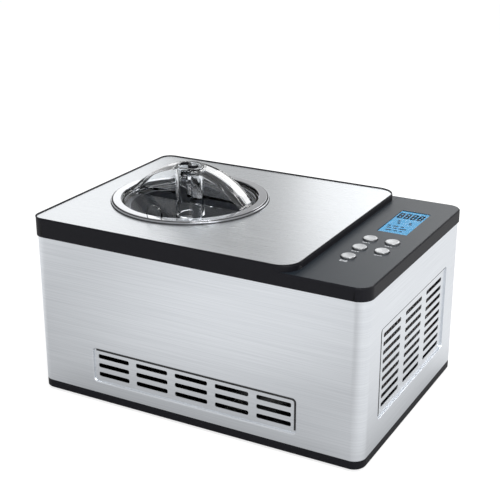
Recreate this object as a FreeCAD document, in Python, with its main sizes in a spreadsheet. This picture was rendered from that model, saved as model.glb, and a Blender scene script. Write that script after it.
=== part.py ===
import FreeCAD, Part
import math
import os
import re
import Sketcher
from FreeCAD import Placement, Rotation, Vector

# Compressor ice cream maker, in millimetres. The origin is on the table under the middle of the case,
# X runs along the long front side to the control panel, Y to the back and Z up.

doc = FreeCAD.newDocument("ice_cream_maker")

# Driving dimensions
SIZES = {
    # steel sided case
    "body_width": 400,
    "body_depth": 278,
    "side_height": 176,
    "corner_radius": 14,
    "sheet_wall": 0.8,
    "fit_gap": 0.2,
    "running_gap": 0.05,
    # base tray and feet
    "foot_height": 3,
    "foot_radius": 11,
    "foot_recess": 1,
    "foot_inset": 32,
    "base_height": 10,
    "base_floor": 3,
    "base_wall": 6,
    "base_chamfer": 1,
    "lip_wall": 2,
    "lip_height": 7,
    # pressed grilles
    "recess_depth": 2,
    "recess_corner": 4,
    "front_recess_width": 252,
    "front_recess_height": 40,
    "front_recess_bottom": 14,
    "front_slot_length": 40.5,
    "front_slot_height": 4,
    "front_slot_pitch": 50,
    "front_row_pitch": 11,
    "front_columns": 5,
    "front_rows": 3,
    "side_recess_width": 196,
    "side_recess_height": 102,
    "side_recess_bottom": 29.5,
    "side_slot_length": 48,
    "side_slot_height": 3.6,
    "side_slot_pitch": 62,
    "side_row_pitch": 9.9,
    "side_columns": 3,
    "side_rows": 9,
    # rear panel
    "rear_flange": 26,
    "rear_overlap": 10,
    "rear_slot_length": 44,
    "rear_slot_height": 4,
    "rear_slot_pitch": 56,
    "rear_row_pitch": 10,
    "rear_columns": 5,
    "rear_rows": 7,
    "rear_vent_bottom": 80,
    "screw_radius": 1.6,
    "screw_length": 7,
    "screw_head_radius": 3,
    "screw_head_height": 1.2,
    "screw_edge": 20,
    "gland_radius": 8,
    "gland_bore": 3.6,
    "gland_length": 12,
    "gland_flange": 1.2,
    "gland_rise": 34,
    "gland_offset": 75,
    # top frame
    "bezel_overhang": 1.5,
    "bezel_height": 14.4,
    "bezel_step": 6.6,
    "bezel_round": 1.2,
    "panel_width": 79,
    "step_corner": 22,
    "deck_wall": 2.5,
    "plate_border": 1.6,
    "plate_wall": 0.8,
    # opening, ring and lid
    "bowl_inset": 120,
    "ring_width": 11.4,
    "ring_height": 3.5,
    "ring_wall": 2.8,
    "ring_round": 1.4,
    "groove_inset": 2.2,
    "groove_width": 1.2,
    "groove_depth": 1,
    "lid_gap": 0.6,
    "lid_plate": 2.5,
    "seat_width": 4.1,
    "seat_depth": 2.5,
    "seat_thickness": 3,
    "seal_height": 1,
    "ridge_width": 31,
    "ridge_inset": 2,
    "ridge_rise": 39,
    "ridge_wall": 2.2,
    "chute_radius": 16.5,
    "chute_wall": 2.2,
    "chute_drop": 18,
    "tab_width": 19,
    "tab_height": 13,
    "tab_wall": 3,
    "tab_inset": 1.5,
    "cap_depth": 9,
    "cap_wall": 1.8,
    "cap_ledge": 1.2,
    "cap_gap": 0.3,
    "grip_wall": 2,
    "grip_height": 3,
    "grip_sink": 1.5,
    # control panel
    "overlay_wall": 0.6,
    "overlay_border": 1.4,
    "display_width": 34,
    "display_length": 76,
    "display_y": 57,
    "display_border": 2,
    "glass_wall": 3,
    "backlight_wall": 4,
    "button_radius": 8,
    "button_rise": 1.8,
    "button_round": 0.7,
    "button_gap": 0.3,
    "button_flange": 1.2,
    "button_travel": 1.2,
    "button_first_y": -10,
    "button_row_pitch": 29,
    "button_column_pitch": 25,
    "board_wall": 1.6,
    "board_inset": 11,
    "board_front": 92,
    "board_rear": 112,
    "post_radius": 3,
    "switch_side": 6,
    "switch_rest_gap": 0.2,
    "plunger_radius": 1.7,
    "plunger_height": 0.9,
    # cooling well and bowl
    "bowl_radius": 70,
    "bowl_wall": 1.5,
    "bowl_gap": 0.6,
    "bowl_rim": 5,
    "rim_gap": 0.5,
    "bowl_floor_gap": 0.5,
    "well_depth": 108,
    "well_wall": 1.5,
    "well_flange": 14,
    "gasket_height": 3,
    "spindle_bore": 8,
    "spindle_height": 55,
    "foam_wall": 16,
    "foam_floor": 12,
    "tube_radius": 3,
    "coil_turns": 5,
    "coil_pitch": 15,
    "coil_rise": 12,
    "coil_lead": 90,
    # paddle
    "hub_gap": 1,
    "hub_wall": 2.6,
    "hub_top": 20,
    "paddle_wall": 3,
    "paddle_gap": 2,
    "paddle_height": 84,
    "paddle_bar": 11,
    "paddle_turn": 35,
    # drive
    "shaft_radius": 5,
    "hex_flats": 7,
    "hex_length": 14,
    "hex_gap": 0.15,
    "bush_wall": 4,
    "bush_flange": 2,
    "gear_module": 0.8,
    "gear_teeth": 68,
    "pinion_teeth": 17,
    "gear_width": 6,
    "gear_space": 2,
    "tooth_play": 0.12,
    "motor_plate_wall": 2.5,
    "gearbox_wall": 2.5,
    "gearbox_gap": 2,
    "gearbox_margin": 3,
    "pin_radius": 3,
    "motor_radius": 30,
    "motor_height": 41,
    "drive_post_radius": 6,
    "drive_post_y": 43,
    "drive_post_edge": 8,
    "motor_shaft_socket": 8,
    "well_post_radius": 7,
    "well_post_reach": 60,
    # refrigeration
    "compressor_radius": 46,
    "compressor_height": 124,
    "compressor_dome": 22,
    "compressor_inset": 125,
    "compressor_front": 55,
    "stub_rise": 10,
    "suction_offset": 14,
    "discharge_offset": 19,
    "grommet_height": 10,
    "grommet_radius": 8,
    "stud_radius": 3,
    "stud_x": 36,
    "stud_y": 35,
    "mount_plate_wall": 2.5,
    "mount_plate_margin": 12,
    "condenser_inset": 22,
    "condenser_length": 172,
    "condenser_depth": 22,
    "condenser_rows": 7,
    "condenser_pitch": 15,
    "condenser_rise": 48,
    "fin_wall": 0.8,
    "fin_pitch": 8,
    "fin_margin": 7,
    "bracket_wall": 1.2,
    "bracket_margin": 3,
    "return_clearance": 4,
    "line_rise": 18,
    "bend_radius": 8,
    "tail_straight": 4,
    "capillary_radius": 1.5,
    "capillary_reach": 32,
    "drier_radius": 9,
    "drier_length": 52,
    "drier_cone": 8,
    "liquid_run": 24,
    # fan
    "shroud_wall": 2.5,
    "fan_radius": 46,
    "fan_gap": 3.5,
    "fan_hub_radius": 13,
    "fan_hub_length": 14,
    "fan_blades": 5,
    "fan_blade_chord": 24,
    "fan_blade_wall": 1.6,
    "fan_blade_pitch": 33,
    "fan_pin_radius": 2,
    "fan_pin_length": 10,
    "fan_clearance": 1.2,
    "fan_motor_radius": 19,
    "fan_motor_length": 22,
    "spider_wall": 2.5,
    "spider_height": 20,
    # power board
    "power_board_width": 78,
    "power_board_depth": 66,
    "power_board_inset": 128,
    "power_board_back": 81,
    "power_board_rise": 10,
    "power_part_x": 19,
    "power_part_y": 16,
    "transformer_length": 26,
    "transformer_depth": 22,
    "transformer_height": 26,
    "relay_length": 14,
    "relay_depth": 16,
    "relay_height": 16,
    "capacitor_radius": 6,
    "capacitor_height": 20,
}

# Words for levels and places that several pieces share, worked out from the driving dimensions
PLACES = {
    "half_width": "body_width / 2",
    "half_depth": "body_depth / 2",
    "inner_width": "body_width - 2 * (sheet_wall + fit_gap)",
    "inner_depth": "body_depth - 2 * (sheet_wall + fit_gap)",
    "inner_corner": "corner_radius - sheet_wall - fit_gap",
    "floor_top": "foot_height + base_floor",
    "base_top": "foot_height + base_height",
    "bezel_bottom": "base_top + side_height",
    "low_deck": "bezel_bottom + bezel_height",
    "low_under": "low_deck - deck_wall",
    "high_deck": "low_deck + bezel_step",
    "plate_seat": "high_deck - plate_wall",
    "high_under": "plate_seat - deck_wall",
    "bezel_half_width": "half_width + bezel_overhang",
    "bezel_half_depth": "half_depth + bezel_overhang",
    "bezel_corner": "corner_radius + bezel_overhang",
    "step_x": "half_width - panel_width",
    "panel_x": "(step_x + bezel_half_width) / 2",
    "bowl_x": "bowl_inset - half_width",
    "seat_inner": "bowl_radius + bowl_rim + rim_gap",
    "ring_inner": "seat_inner + seat_width",
    "ring_radius": "ring_inner + ring_width",
    "collar_radius": "ring_inner + ring_wall",
    "deck_hole": "collar_radius + fit_gap",
    "lid_radius": "ring_inner - lid_gap",
    "ridge_span": "2 * (lid_radius - ridge_inset)",
    "seat_top": "high_deck - seat_depth",
    "ring_bottom": "seat_top - seat_thickness",
    "lid_bottom": "seat_top + seal_height",
    "lid_top": "lid_bottom + lid_plate",
    "arch_rise": "ridge_rise + lid_plate",
    "arch_radius": "(ridge_span * ridge_span / 4 + arch_rise * arch_rise) / (2 * arch_rise)",
    "inner_rise": "arch_rise - ridge_wall",
    "inner_arch": "arch_radius - ridge_wall",
    "inner_span": "2 * sqrt(2 * inner_arch * inner_rise - inner_rise * inner_rise)",
    "tab_shoulder": "lid_top + tab_height - tab_width / 2",
    "chute_top": "lid_top + ridge_rise",
    "chute_bore": "chute_radius - chute_wall",
    "cap_bottom": "chute_top - cap_depth",
    "cap_radius": "chute_bore - cap_gap",
    "cap_face": "chute_top - grip_sink",
    "grip_arc": "(cap_radius - cap_wall - grip_wall) / 2",
    "rim_seat": "ring_bottom - gasket_height",
    "well_radius": "bowl_radius + bowl_gap",
    "well_outer": "well_radius + well_wall",
    "well_floor": "rim_seat - well_depth",
    "well_under": "well_floor - well_wall",
    "bowl_under": "well_floor + bowl_floor_gap",
    "bowl_floor": "bowl_under + bowl_wall",
    "spindle_top": "bowl_floor + spindle_height",
    "spindle_radius": "spindle_bore + bowl_wall",
    "hub_bore": "spindle_radius + hub_gap",
    "hub_radius": "hub_bore + hub_wall",
    "hub_base": "bowl_floor + hub_gap",
    "paddle_radius": "bowl_radius - bowl_wall - paddle_gap",
    "coil_radius": "well_outer + tube_radius + fit_gap",
    "foam_inner": "coil_radius + tube_radius + fit_gap",
    "foam_outer": "foam_inner + foam_wall",
    "foam_base": "well_under - foam_floor",
    "foam_hole": "bush_radius + bush_flange + fit_gap",
    "coil_low": "well_under + coil_rise",
    "coil_high": "coil_low + (coil_turns + 0.5) * coil_pitch",
    "hex_top": "spindle_top + hex_length",
    "gear_centres": "gear_module * (gear_teeth + pinion_teeth) / 2",
    "gear_tip": "gear_module * (gear_teeth / 2 + 1)",
    "motor_plate_top": "foam_base - gearbox_gap - gearbox_height",
    "motor_plate_under": "motor_plate_top - motor_plate_wall",
    "gearbox_height": "2 * gear_width + 3 * gear_space + gearbox_wall",
    "gearbox_top": "motor_plate_top + gearbox_height",
    "gearbox_half": "gear_tip + gearbox_margin + gearbox_wall",
    "motor_x": "bowl_x - 2 * gear_centres",
    "first_stage": "motor_plate_top + gear_space",
    "second_stage": "first_stage + gear_width + gear_space",
    "bush_radius": "shaft_radius + bush_wall",
    "compressor_x": "half_width - compressor_inset",
    "compressor_y": "compressor_front - half_depth",
    "compressor_bottom": "floor_top + grommet_height + mount_plate_wall",
    "compressor_top": "compressor_bottom + compressor_height",
    "stub_top": "compressor_top + stub_rise",
    "suction_x": "compressor_x - suction_offset",
    "discharge_x": "compressor_x + discharge_offset",
    "condenser_x": "half_width - condenser_inset",
    "condenser_top": "condenser_rise + (condenser_rows - 1) * condenser_pitch",
    "bracket_top": "condenser_top + fin_margin + bracket_margin",
    "bracket_half_depth": "condenser_depth / 2 + bracket_margin",
    "shroud_x": "condenser_x - bracket_half_depth",
    "turn_y": "condenser_length / 2 + return_clearance + condenser_pitch / 2",
    "tail_y": "turn_y + bend_radius + tail_straight",
    "drier_x": "condenser_x - liquid_run",
    "fan_z": "(condenser_rise + condenser_top) / 2",
    "fan_x": "shroud_x - shroud_wall - fan_clearance",
    "fan_motor_x": "fan_x - fan_hub_length - fan_clearance",
    "spider_x": "fan_motor_x - fan_motor_length",
    "board_top": "low_under - glass_wall - backlight_wall",
    "power_board_x": "half_width - power_board_inset",
    "power_board_y": "half_depth - power_board_back",
    "power_board_top": "floor_top + power_board_rise + board_wall",
}

sheet = doc.addObject("Spreadsheet::Sheet", "sizes")
for row, (alias, value) in enumerate(SIZES.items(), start=1):
    sheet.set(f"A{row}", alias)
    sheet.set(f"B{row}", str(value))
    sheet.setAlias(f"B{row}", alias)
doc.recompute()


def expand(text, prefix="sizes."):
    """Swap the words of an expression for the sheet's cells."""
    def swap(match):
        word = match.group(0)
        if word in PLACES:
            return "(" + expand(PLACES[word], prefix) + ")"
        return prefix + word if word in SIZES else word
    return re.sub(r"[a-z][a-z0-9_]*", swap, text)


def number(text):
    """Value of an expression, for geometry that the code places itself."""
    return float(sheet.evalExpression(expand(text, "")))


def bind(thing, name, text):
    """Drive one property of a document object from the sheet."""
    thing.setExpression(name, expand(text))


# Document helpers
TINY = 1e-6
LEVEL = 0.01
nodes = []


def keep(thing, label):
    """Name a finished sub-part and put it on the list of files."""
    thing.Label = label
    nodes.append(thing)
    return thing


def place(thing, x="0", y="0", z="0"):
    """Put a document object at a place given by expressions."""
    for axis, text in zip("xyz", (x, y, z)):
        bind(thing, f"Placement.Base.{axis}", text)


def new_body(label, x="0", y="0", z="0", turn=None, whole=True):
    """A PartDesign body at a place, turned once about an axis if asked."""
    body = doc.addObject("PartDesign::Body", label)
    body.Label = label
    if turn:
        body.Placement = Placement(Vector(), turn)
    place(body, x, y, z)
    return keep(body, label) if whole else body


def sketch_on(body, role, offset="0"):
    """An empty sketch on one of the body's own origin planes, moved along its normal."""
    sketch = body.newObject("Sketcher::SketchObject", body.Label + "_sketch")
    origin = [feature for feature in body.Origin.OriginFeatures if feature.Role == role]
    sketch.AttachmentSupport = [(origin[0], "")]
    sketch.MapMode = "FlatFace"
    bind(sketch, "AttachmentOffset.Base.z", offset)
    return sketch


def flat_sketch(body, z):
    return sketch_on(body, "XY_Plane", z)


def front_sketch(body, y):
    return sketch_on(body, "XZ_Plane", f"-({y})")


def side_sketch(body, x):
    return sketch_on(body, "YZ_Plane", x)


def spot(x, y):
    return Vector(number(x), number(y), 0)


def drive(sketch, rules):
    """Add constraints in one go, each with the expression that drives it or None."""
    first = sketch.ConstraintCount
    sketch.addConstraint([rule for rule, text in rules])
    for index, (rule, text) in enumerate(rules, start=first):
        if text:
            bind(sketch, f"Constraints[{index}]", text)


def held(geometry, end, x, y):
    """Rules that hold one point of a sketch at two driven distances from its origin."""
    return [
        (Sketcher.Constraint(kind, -1, 1, geometry, end, number(text)), text)
        for kind, text in (("DistanceX", x), ("DistanceY", y))
    ]


def polygon(sketch, corners):
    """A closed outline of straight lines with driven corners."""
    count = len(corners)
    first = sketch.GeometryCount
    following = corners[1:] + corners[:1]
    sketch.addGeometry([Part.LineSegment(spot(*a), spot(*b)) for a, b in zip(corners, following)])
    rules = []
    for index, corner in enumerate(corners):
        after = first + (index + 1) % count
        rules.append((Sketcher.Constraint("Coincident", first + index, 2, after, 1), None))
        rules += held(first + index, 1, *corner)
    drive(sketch, rules)


def rectangle(sketch, x0, x1, y0, y1):
    polygon(sketch, [(x0, y0), (x1, y0), (x1, y1), (x0, y1)])


def circle(sketch, x, y, radius):
    """A circle with a driven centre and radius."""
    index = sketch.addGeometry(Part.Circle(spot(x, y), Vector(0, 0, 1), number(radius)))
    width = (Sketcher.Constraint("Radius", index, number(radius)), radius)
    drive(sketch, held(index, 3, x, y) + [width])


def round_chain(sketch, lines, bends):
    """Join driven straight lines, in order, by tangent arcs about the given centres."""
    first = sketch.GeometryCount
    rules = []
    for start, end in lines:
        index = sketch.addGeometry(Part.LineSegment(spot(*start), spot(*end)))
        rules += held(index, 1, *start) + held(index, 2, *end)
    for index, centre in enumerate(bends):
        after = (index + 1) % len(lines)
        middle = spot(*centre)
        begin = spot(*lines[index][1]) - middle
        finish = spot(*lines[after][0]) - middle
        ring = Part.Circle(middle, Vector(0, 0, 1), begin.Length)
        start_angle = math.atan2(begin.y, begin.x)
        end_angle = math.atan2(finish.y, finish.x)
        arc = sketch.addGeometry(Part.ArcOfCircle(ring, start_angle, end_angle))
        rules.append((Sketcher.Constraint("Tangent", first + index, 2, arc, 1), None))
        rules.append((Sketcher.Constraint("Coincident", arc, 2, first + after, 1), None))
    drive(sketch, rules)


def rounded(sketch, x0, x1, y0, y1, radius, right_radius=None):
    """A rectangle with round corners, which may be larger on the right."""
    right = right_radius or radius
    left_in, right_in = f"{x0} + {radius}", f"{x1} - ({right})"
    low_left, high_left = f"{y0} + {radius}", f"{y1} - ({radius})"
    low_right, high_right = f"{y0} + {right}", f"{y1} - ({right})"
    lines = [
        ((left_in, y0), (right_in, y0)),
        ((x1, low_right), (x1, high_right)),
        ((right_in, y1), (left_in, y1)),
        ((x0, high_left), (x0, low_left)),
    ]
    bends = [(right_in, low_right), (right_in, high_right), (left_in, high_left), (left_in, low_left)]
    round_chain(sketch, lines, bends)


def centred(sketch, width, depth, radius):
    """A round-cornered rectangle about the sketch's origin."""
    rounded(sketch, f"-({width}) / 2", f"({width}) / 2", f"-({depth}) / 2", f"({depth}) / 2", radius)


def slot(sketch, x, y, length, height):
    """A round-ended slot that starts at x and is centred on y."""
    radius = f"({height}) / 2"
    left, right = f"{x} + {radius}", f"{x} + {length} - {radius}"
    low, high = f"{y} - {radius}", f"{y} + {radius}"
    round_chain(sketch, [((left, low), (right, low)), ((right, high), (left, high))], [(right, y), (left, y)])


def pad(body, sketch, length, reverse=False, middle=False):
    """Raise a sketch into a solid."""
    feature = body.newObject("PartDesign::Pad", body.Label + "_pad")
    feature.Profile = sketch
    feature.Reversed = reverse
    feature.Midplane = middle
    bind(feature, "Length", length)
    doc.recompute()
    return feature


def pocket(body, sketch, depth, reverse=False, middle=False):
    """Cut a sketch out of a solid, and make sure that it cut something."""
    before = body.Shape.Volume
    feature = body.newObject("PartDesign::Pocket", body.Label + "_cut")
    feature.Profile = sketch
    feature.Reversed = reverse
    feature.Midplane = middle
    bind(feature, "Length", depth)
    doc.recompute()
    if not body.Shape.Volume < before - TINY:
        raise RuntimeError(f"a cut in {body.Label} removes nothing")
    return feature


def repeat(body, feature, sketch, name):
    """Repeat a slot in the columns and rows of a named grille."""
    pattern = body.newObject("PartDesign::LinearPattern", body.Label + "_grid")
    pattern.Originals = [feature]
    pattern.Direction = (sketch, ["H_Axis"])
    pattern.Direction2 = (sketch, ["V_Axis"])
    bind(pattern, "Length", f"{name}_slot_pitch * ({name}_columns - 1)")
    bind(pattern, "Occurrences", f"{name}_columns")
    bind(pattern, "Length2", f"{name}_row_pitch * ({name}_rows - 1)")
    bind(pattern, "Occurrences2", f"{name}_rows")
    body.Tip = pattern
    doc.recompute()


def soften(body, radius, wanted, kind="Fillet", size_name="Radius"):
    """Round or bevel the edges of a body that a test picks."""
    tip = body.Tip
    names = [f"Edge{index}" for index, edge in enumerate(tip.Shape.Edges, start=1) if wanted(edge)]
    if not names:
        raise RuntimeError(f"no edge to soften on {body.Label}")
    feature = body.newObject(f"PartDesign::{kind}", body.Label + "_soft")
    feature.Base = (tip, names)
    bind(feature, size_name, radius)
    doc.recompute()


def bevel(body, size, wanted):
    soften(body, size, wanted, "Chamfer", "Size")


def level_edge(edge, z):
    """True where an edge lies flat at one height."""
    box = edge.BoundBox
    return abs(box.ZMin - number(z)) < LEVEL and abs(box.ZMax - number(z)) < LEVEL


def turned(label, profile, x="0", y="0", z="0", turn=None, whole=True):
    """A piece turned about an upright axis, from corners given as radius and height."""
    body = new_body(label, x, y, z, turn, whole)
    sketch = sketch_on(body, "XZ_Plane")
    polygon(sketch, profile)
    feature = body.newObject("PartDesign::Revolution", label + "_turn")
    feature.Profile = sketch
    feature.ReferenceAxis = (sketch, ["V_Axis"])
    feature.Angle = 360
    doc.recompute()
    return body


def tube_profile(inner, outer, low, high):
    """Corners of a plain ring."""
    return [(inner, low), (outer, low), (outer, high), (inner, high)]


def block(length, width, height, x, y, z):
    """A box by its middle in plan and its underside."""
    solid = doc.addObject("Part::Box", "block")
    for name, text in zip(("Length", "Width", "Height"), (length, width, height)):
        bind(solid, name, text)
    place(solid, f"{x} - ({length}) / 2", f"{y} - ({width}) / 2", z)
    return solid


def rod(radius, height, x, y, z):
    """An upright cylinder by its axis and its underside."""
    solid = doc.addObject("Part::Cylinder", "rod")
    bind(solid, "Radius", radius)
    bind(solid, "Height", height)
    place(solid, x, y, z)
    return solid


def fused(label, pieces):
    """One solid from several."""
    union = doc.addObject("Part::MultiFuse", label)
    union.Shapes = pieces
    doc.recompute()
    return union


def group(label, pieces):
    """Separate solids that share one node."""
    compound = doc.addObject("Part::Compound", label)
    compound.Links = pieces
    doc.recompute()
    return keep(compound, label)


def shaped(label, shape):
    """A sub-part whose shape comes from code."""
    feature = doc.addObject("Part::Feature", label)
    feature.Shape = shape
    return keep(feature, label)


UPRIGHT_TO_X = Rotation(Vector(0, 1, 0), 90)
UPRIGHT_TO_BACK = Rotation(Vector(1, 0, 0), -90)


# Base tray: floor, rim, locating lip and the posts that carry the machinery
base = new_body("base_tray")
sketch = flat_sketch(base, "foot_height")
centred(sketch, "body_width", "body_depth", "corner_radius")
pad(base, sketch, "base_height")
bevel(base, "base_chamfer", lambda edge: level_edge(edge, "foot_height"))
sketch = flat_sketch(base, "floor_top")
centred(sketch, "body_width - 2 * base_wall", "body_depth - 2 * base_wall", "corner_radius - base_wall")
pocket(base, sketch, "base_height", reverse=True)
sketch = flat_sketch(base, "base_top")
centred(sketch, "inner_width", "inner_depth", "inner_corner")
centred(sketch, "inner_width - 2 * lip_wall", "inner_depth - 2 * lip_wall", "inner_corner - lip_wall")
pad(base, sketch, "lip_height")

foot_places = [
    (f"{side} * (half_width - foot_inset)", f"{end} * (half_depth - foot_inset)")
    for side in (-1, 1) for end in (-1, 1)
]
sketch = flat_sketch(base, "foot_height")
for x, y in foot_places:
    circle(sketch, x, y, "foot_radius + fit_gap")
pocket(base, sketch, "foot_recess", reverse=True)

well_posts = [
    (f"bowl_x + {side} * well_post_reach", f"{end} * well_post_reach") for side in (-1, 1) for end in (-1, 1)
]
drive_posts = [
    (x, f"{end} * drive_post_y")
    for x in ("bowl_x + gearbox_half", "motor_x - gearbox_half") for end in (-1, 1)
]
mount_studs = [
    (f"compressor_x + {side} * stud_x", f"compressor_y + {end} * stud_y")
    for side in (-1, 1) for end in (-1, 1)
]
board_posts = [
    (f"power_board_x + {side} * (power_board_width / 2 - 2 * post_radius)",
     f"power_board_y + {end} * (power_board_depth / 2 - 2 * post_radius)")
    for side in (-1, 1) for end in (-1, 1)
]
for places, radius, top in (
    (well_posts, "well_post_radius", "foam_base"),
    (drive_posts, "drive_post_radius", "motor_plate_under"),
    (mount_studs, "stud_radius - fit_gap", "compressor_bottom + fit_gap"),
    (board_posts, "post_radius", "floor_top + power_board_rise"),
):
    sketch = flat_sketch(base, "floor_top")
    for x, y in places:
        circle(sketch, x, y, radius)
    pad(base, sketch, f"{top} - floor_top")
sketch = flat_sketch(base, "motor_plate_under")
for x, y in drive_posts:
    circle(sketch, x, y, "screw_radius + running_gap")
pocket(base, sketch, "2 * screw_length")

# Rubber feet, set into the tray's underside
feet = []
for x, y in foot_places:
    foot = doc.addObject("Part::Cone", "foot")
    bind(foot, "Radius1", "foot_radius - foot_recess")
    bind(foot, "Radius2", "foot_radius")
    bind(foot, "Height", "foot_height + foot_recess")
    place(foot, x, y, "0")
    feet.append(foot)
group("rubber_feet", feet)

# Steel wrap: front and sides in one sheet, folded in at the back, with two pressed grilles
wrap = new_body("housing_wrap")
sketch = flat_sketch(wrap, "base_top")
centred(sketch, "body_width", "body_depth", "corner_radius")
centred(sketch, "body_width - 2 * sheet_wall", "body_depth - 2 * sheet_wall", "corner_radius - sheet_wall")
pad(wrap, sketch, "side_height")
sketch = front_sketch(wrap, "half_depth - 2 * sheet_wall")
rectangle(sketch, "-half_width + rear_flange", "half_width - rear_flange", "foot_height", "low_deck")
pocket(wrap, sketch, "4 * sheet_wall")


rear_screw_places = [
    (f"{side} * (half_width - rear_flange + rear_overlap / 2)", height)
    for side in (-1, 1)
    for height in ("base_top + screw_edge", "base_top + side_height / 2", "bezel_bottom - screw_edge")
]
sketch = front_sketch(wrap, "half_depth - 2 * sheet_wall")
for x, z in rear_screw_places:
    circle(sketch, x, z, "screw_radius + fit_gap")
pocket(wrap, sketch, "4 * sheet_wall")


def slot_grid(body, sketch, name, first_row, depth):
    """Cut the slots of a named grille, from its lowest row up."""
    start = f"-({name}_columns - 1) * {name}_slot_pitch / 2 - {name}_slot_length / 2"
    slot(sketch, start, first_row, f"{name}_slot_length", f"{name}_slot_height")
    repeat(body, pocket(body, sketch, depth), sketch, name)


def pressed_grille(sketcher, face, sign, name):
    """Press a shallow pan into the wrap and cut slots through it."""
    low = f"base_top + {name}_recess_bottom"
    high = f"{low} + {name}_recess_height"
    half = f"{name}_recess_width / 2"
    pan = sketcher(wrap, f"{face} {sign} sheet_wall")
    rounded(pan, f"-{half} - sheet_wall", f"{half} + sheet_wall", f"{low} - sheet_wall",
            f"{high} + sheet_wall", "recess_corner + sheet_wall")
    pad(wrap, pan, "recess_depth", reverse=True)
    dish = sketcher(wrap, face)
    rounded(dish, f"-{half}", half, low, high, "recess_corner")
    pocket(wrap, dish, "recess_depth")
    first_row = f"{low} + ({name}_recess_height - ({name}_rows - 1) * {name}_row_pitch) / 2"
    slot_grid(wrap, sketcher(wrap, face), name, first_row, "recess_depth + 2 * sheet_wall")


pressed_grille(front_sketch, "-half_depth", "+", "front")
pressed_grille(side_sketch, "half_width", "-", "side")

# Rear panel behind the folded edges, with air slots and the cord gland's hole
rear = new_body("rear_panel")
sketch = front_sketch(rear, "half_depth - sheet_wall")
panel_half = "half_width - rear_flange + rear_overlap"
rectangle(sketch, f"-({panel_half})", panel_half, "base_top + lip_height + fit_gap",
          "bezel_bottom - lip_height - fit_gap")
pad(rear, sketch, "sheet_wall")
sketch = front_sketch(rear, "half_depth - 3 * sheet_wall")
for x, z in rear_screw_places:
    circle(sketch, x, z, "screw_radius + fit_gap")
circle(sketch, "gland_offset", "base_top + gland_rise", "gland_radius + fit_gap")
pocket(rear, sketch, "4 * sheet_wall")
sketch = front_sketch(rear, "half_depth - 3 * sheet_wall")
slot_grid(rear, sketch, "rear", "base_top + rear_vent_bottom", "4 * sheet_wall")

# Screws that hold the rear panel
rear_screws = []
for x, z in rear_screw_places:
    shank = rod("screw_radius", "screw_length", x, "half_depth - screw_length", z)
    head = rod("screw_head_radius", "screw_head_height", x, "half_depth", z)
    for piece in (shank, head):
        piece.Placement.Rotation = UPRIGHT_TO_BACK
    rear_screws.append(fused("rear_screw", [shank, head]))
group("rear_screws", rear_screws)

# Cord gland: a flanged plastic bush in the rear panel
turned("cord_gland", [
    ("gland_bore", "-gland_length"),
    ("gland_radius", "-gland_length"),
    ("gland_radius", "0"),
    ("gland_radius + gland_flange", "0"),
    ("gland_radius + gland_flange", "gland_flange"),
    ("gland_bore", "gland_flange"),
], "gland_offset", "half_depth - sheet_wall", "base_top + gland_rise", UPRIGHT_TO_BACK)

# Top frame: skirt, low deck on the right, raised deck on the left
bezel = new_body("top_bezel")
sketch = flat_sketch(bezel, "bezel_bottom")
centred(sketch, "2 * bezel_half_width", "2 * bezel_half_depth", "bezel_corner")
pad(bezel, sketch, "bezel_height")
bevel(bezel, "bezel_round", lambda edge: level_edge(edge, "low_deck"))
sketch = flat_sketch(bezel, "low_deck - bezel_round")
rounded(sketch, "-bezel_half_width", "step_x", "-bezel_half_depth", "bezel_half_depth", "bezel_corner",
        "step_corner")
pad(bezel, sketch, "bezel_step + bezel_round")
soften(bezel, "bezel_round", lambda edge: level_edge(edge, "high_deck"))
sketch = flat_sketch(bezel, "bezel_bottom")
centred(sketch, "inner_width - 2 * lip_wall", "inner_depth - 2 * lip_wall", "inner_corner - lip_wall")
pocket(bezel, sketch, "bezel_height - deck_wall", reverse=True)
sketch = flat_sketch(bezel, "low_under")
rounded(sketch, "-(inner_width / 2 - lip_wall)", "step_x - deck_wall", "-(inner_depth / 2 - lip_wall)",
        "inner_depth / 2 - lip_wall", "inner_corner - lip_wall", "step_corner - deck_wall")
pocket(bezel, sketch, "high_under - low_under", reverse=True)
sketch = flat_sketch(bezel, "bezel_bottom")
centred(sketch, "inner_width", "inner_depth", "inner_corner")
centred(sketch, "inner_width - 2 * lip_wall", "inner_depth - 2 * lip_wall", "inner_corner - lip_wall")
pad(bezel, sketch, "lip_height", reverse=True)


def plate_outline(sketch, border):
    """Outline of the raised deck, drawn in by a border."""
    rounded(sketch, f"-bezel_half_width + {border}", f"step_x - ({border})", f"-bezel_half_depth + {border}",
            f"bezel_half_depth - ({border})", f"bezel_corner - ({border})", f"step_corner - ({border})")


def panel_outline(sketch, border):
    """Outline of the low deck beside the step, drawn in by a border."""
    rounded(sketch, f"step_x + {border}", f"bezel_half_width - ({border})", f"-bezel_half_depth + {border}",
            f"bezel_half_depth - ({border})", "overlay_border", f"bezel_corner - ({border})")


sketch = flat_sketch(bezel, "high_deck")
plate_outline(sketch, "plate_border")
pocket(bezel, sketch, "plate_wall")
sketch = flat_sketch(bezel, "high_deck")
circle(sketch, "bowl_x", "0", "deck_hole")
pocket(bezel, sketch, "bezel_step + bezel_height")
sketch = flat_sketch(bezel, "low_deck")
panel_outline(sketch, "overlay_border")
pocket(bezel, sketch, "overlay_wall")

button_places = {
    "mode_button": ("panel_x - button_column_pitch / 2", "button_first_y"),
    "timer_button": ("panel_x + button_column_pitch / 2", "button_first_y"),
    "plus_button": ("panel_x - button_column_pitch / 2", "button_first_y - button_row_pitch"),
    "minus_button": ("panel_x + button_column_pitch / 2", "button_first_y - button_row_pitch"),
    "start_button": ("panel_x - button_column_pitch / 2", "button_first_y - 2 * button_row_pitch"),
}


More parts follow.
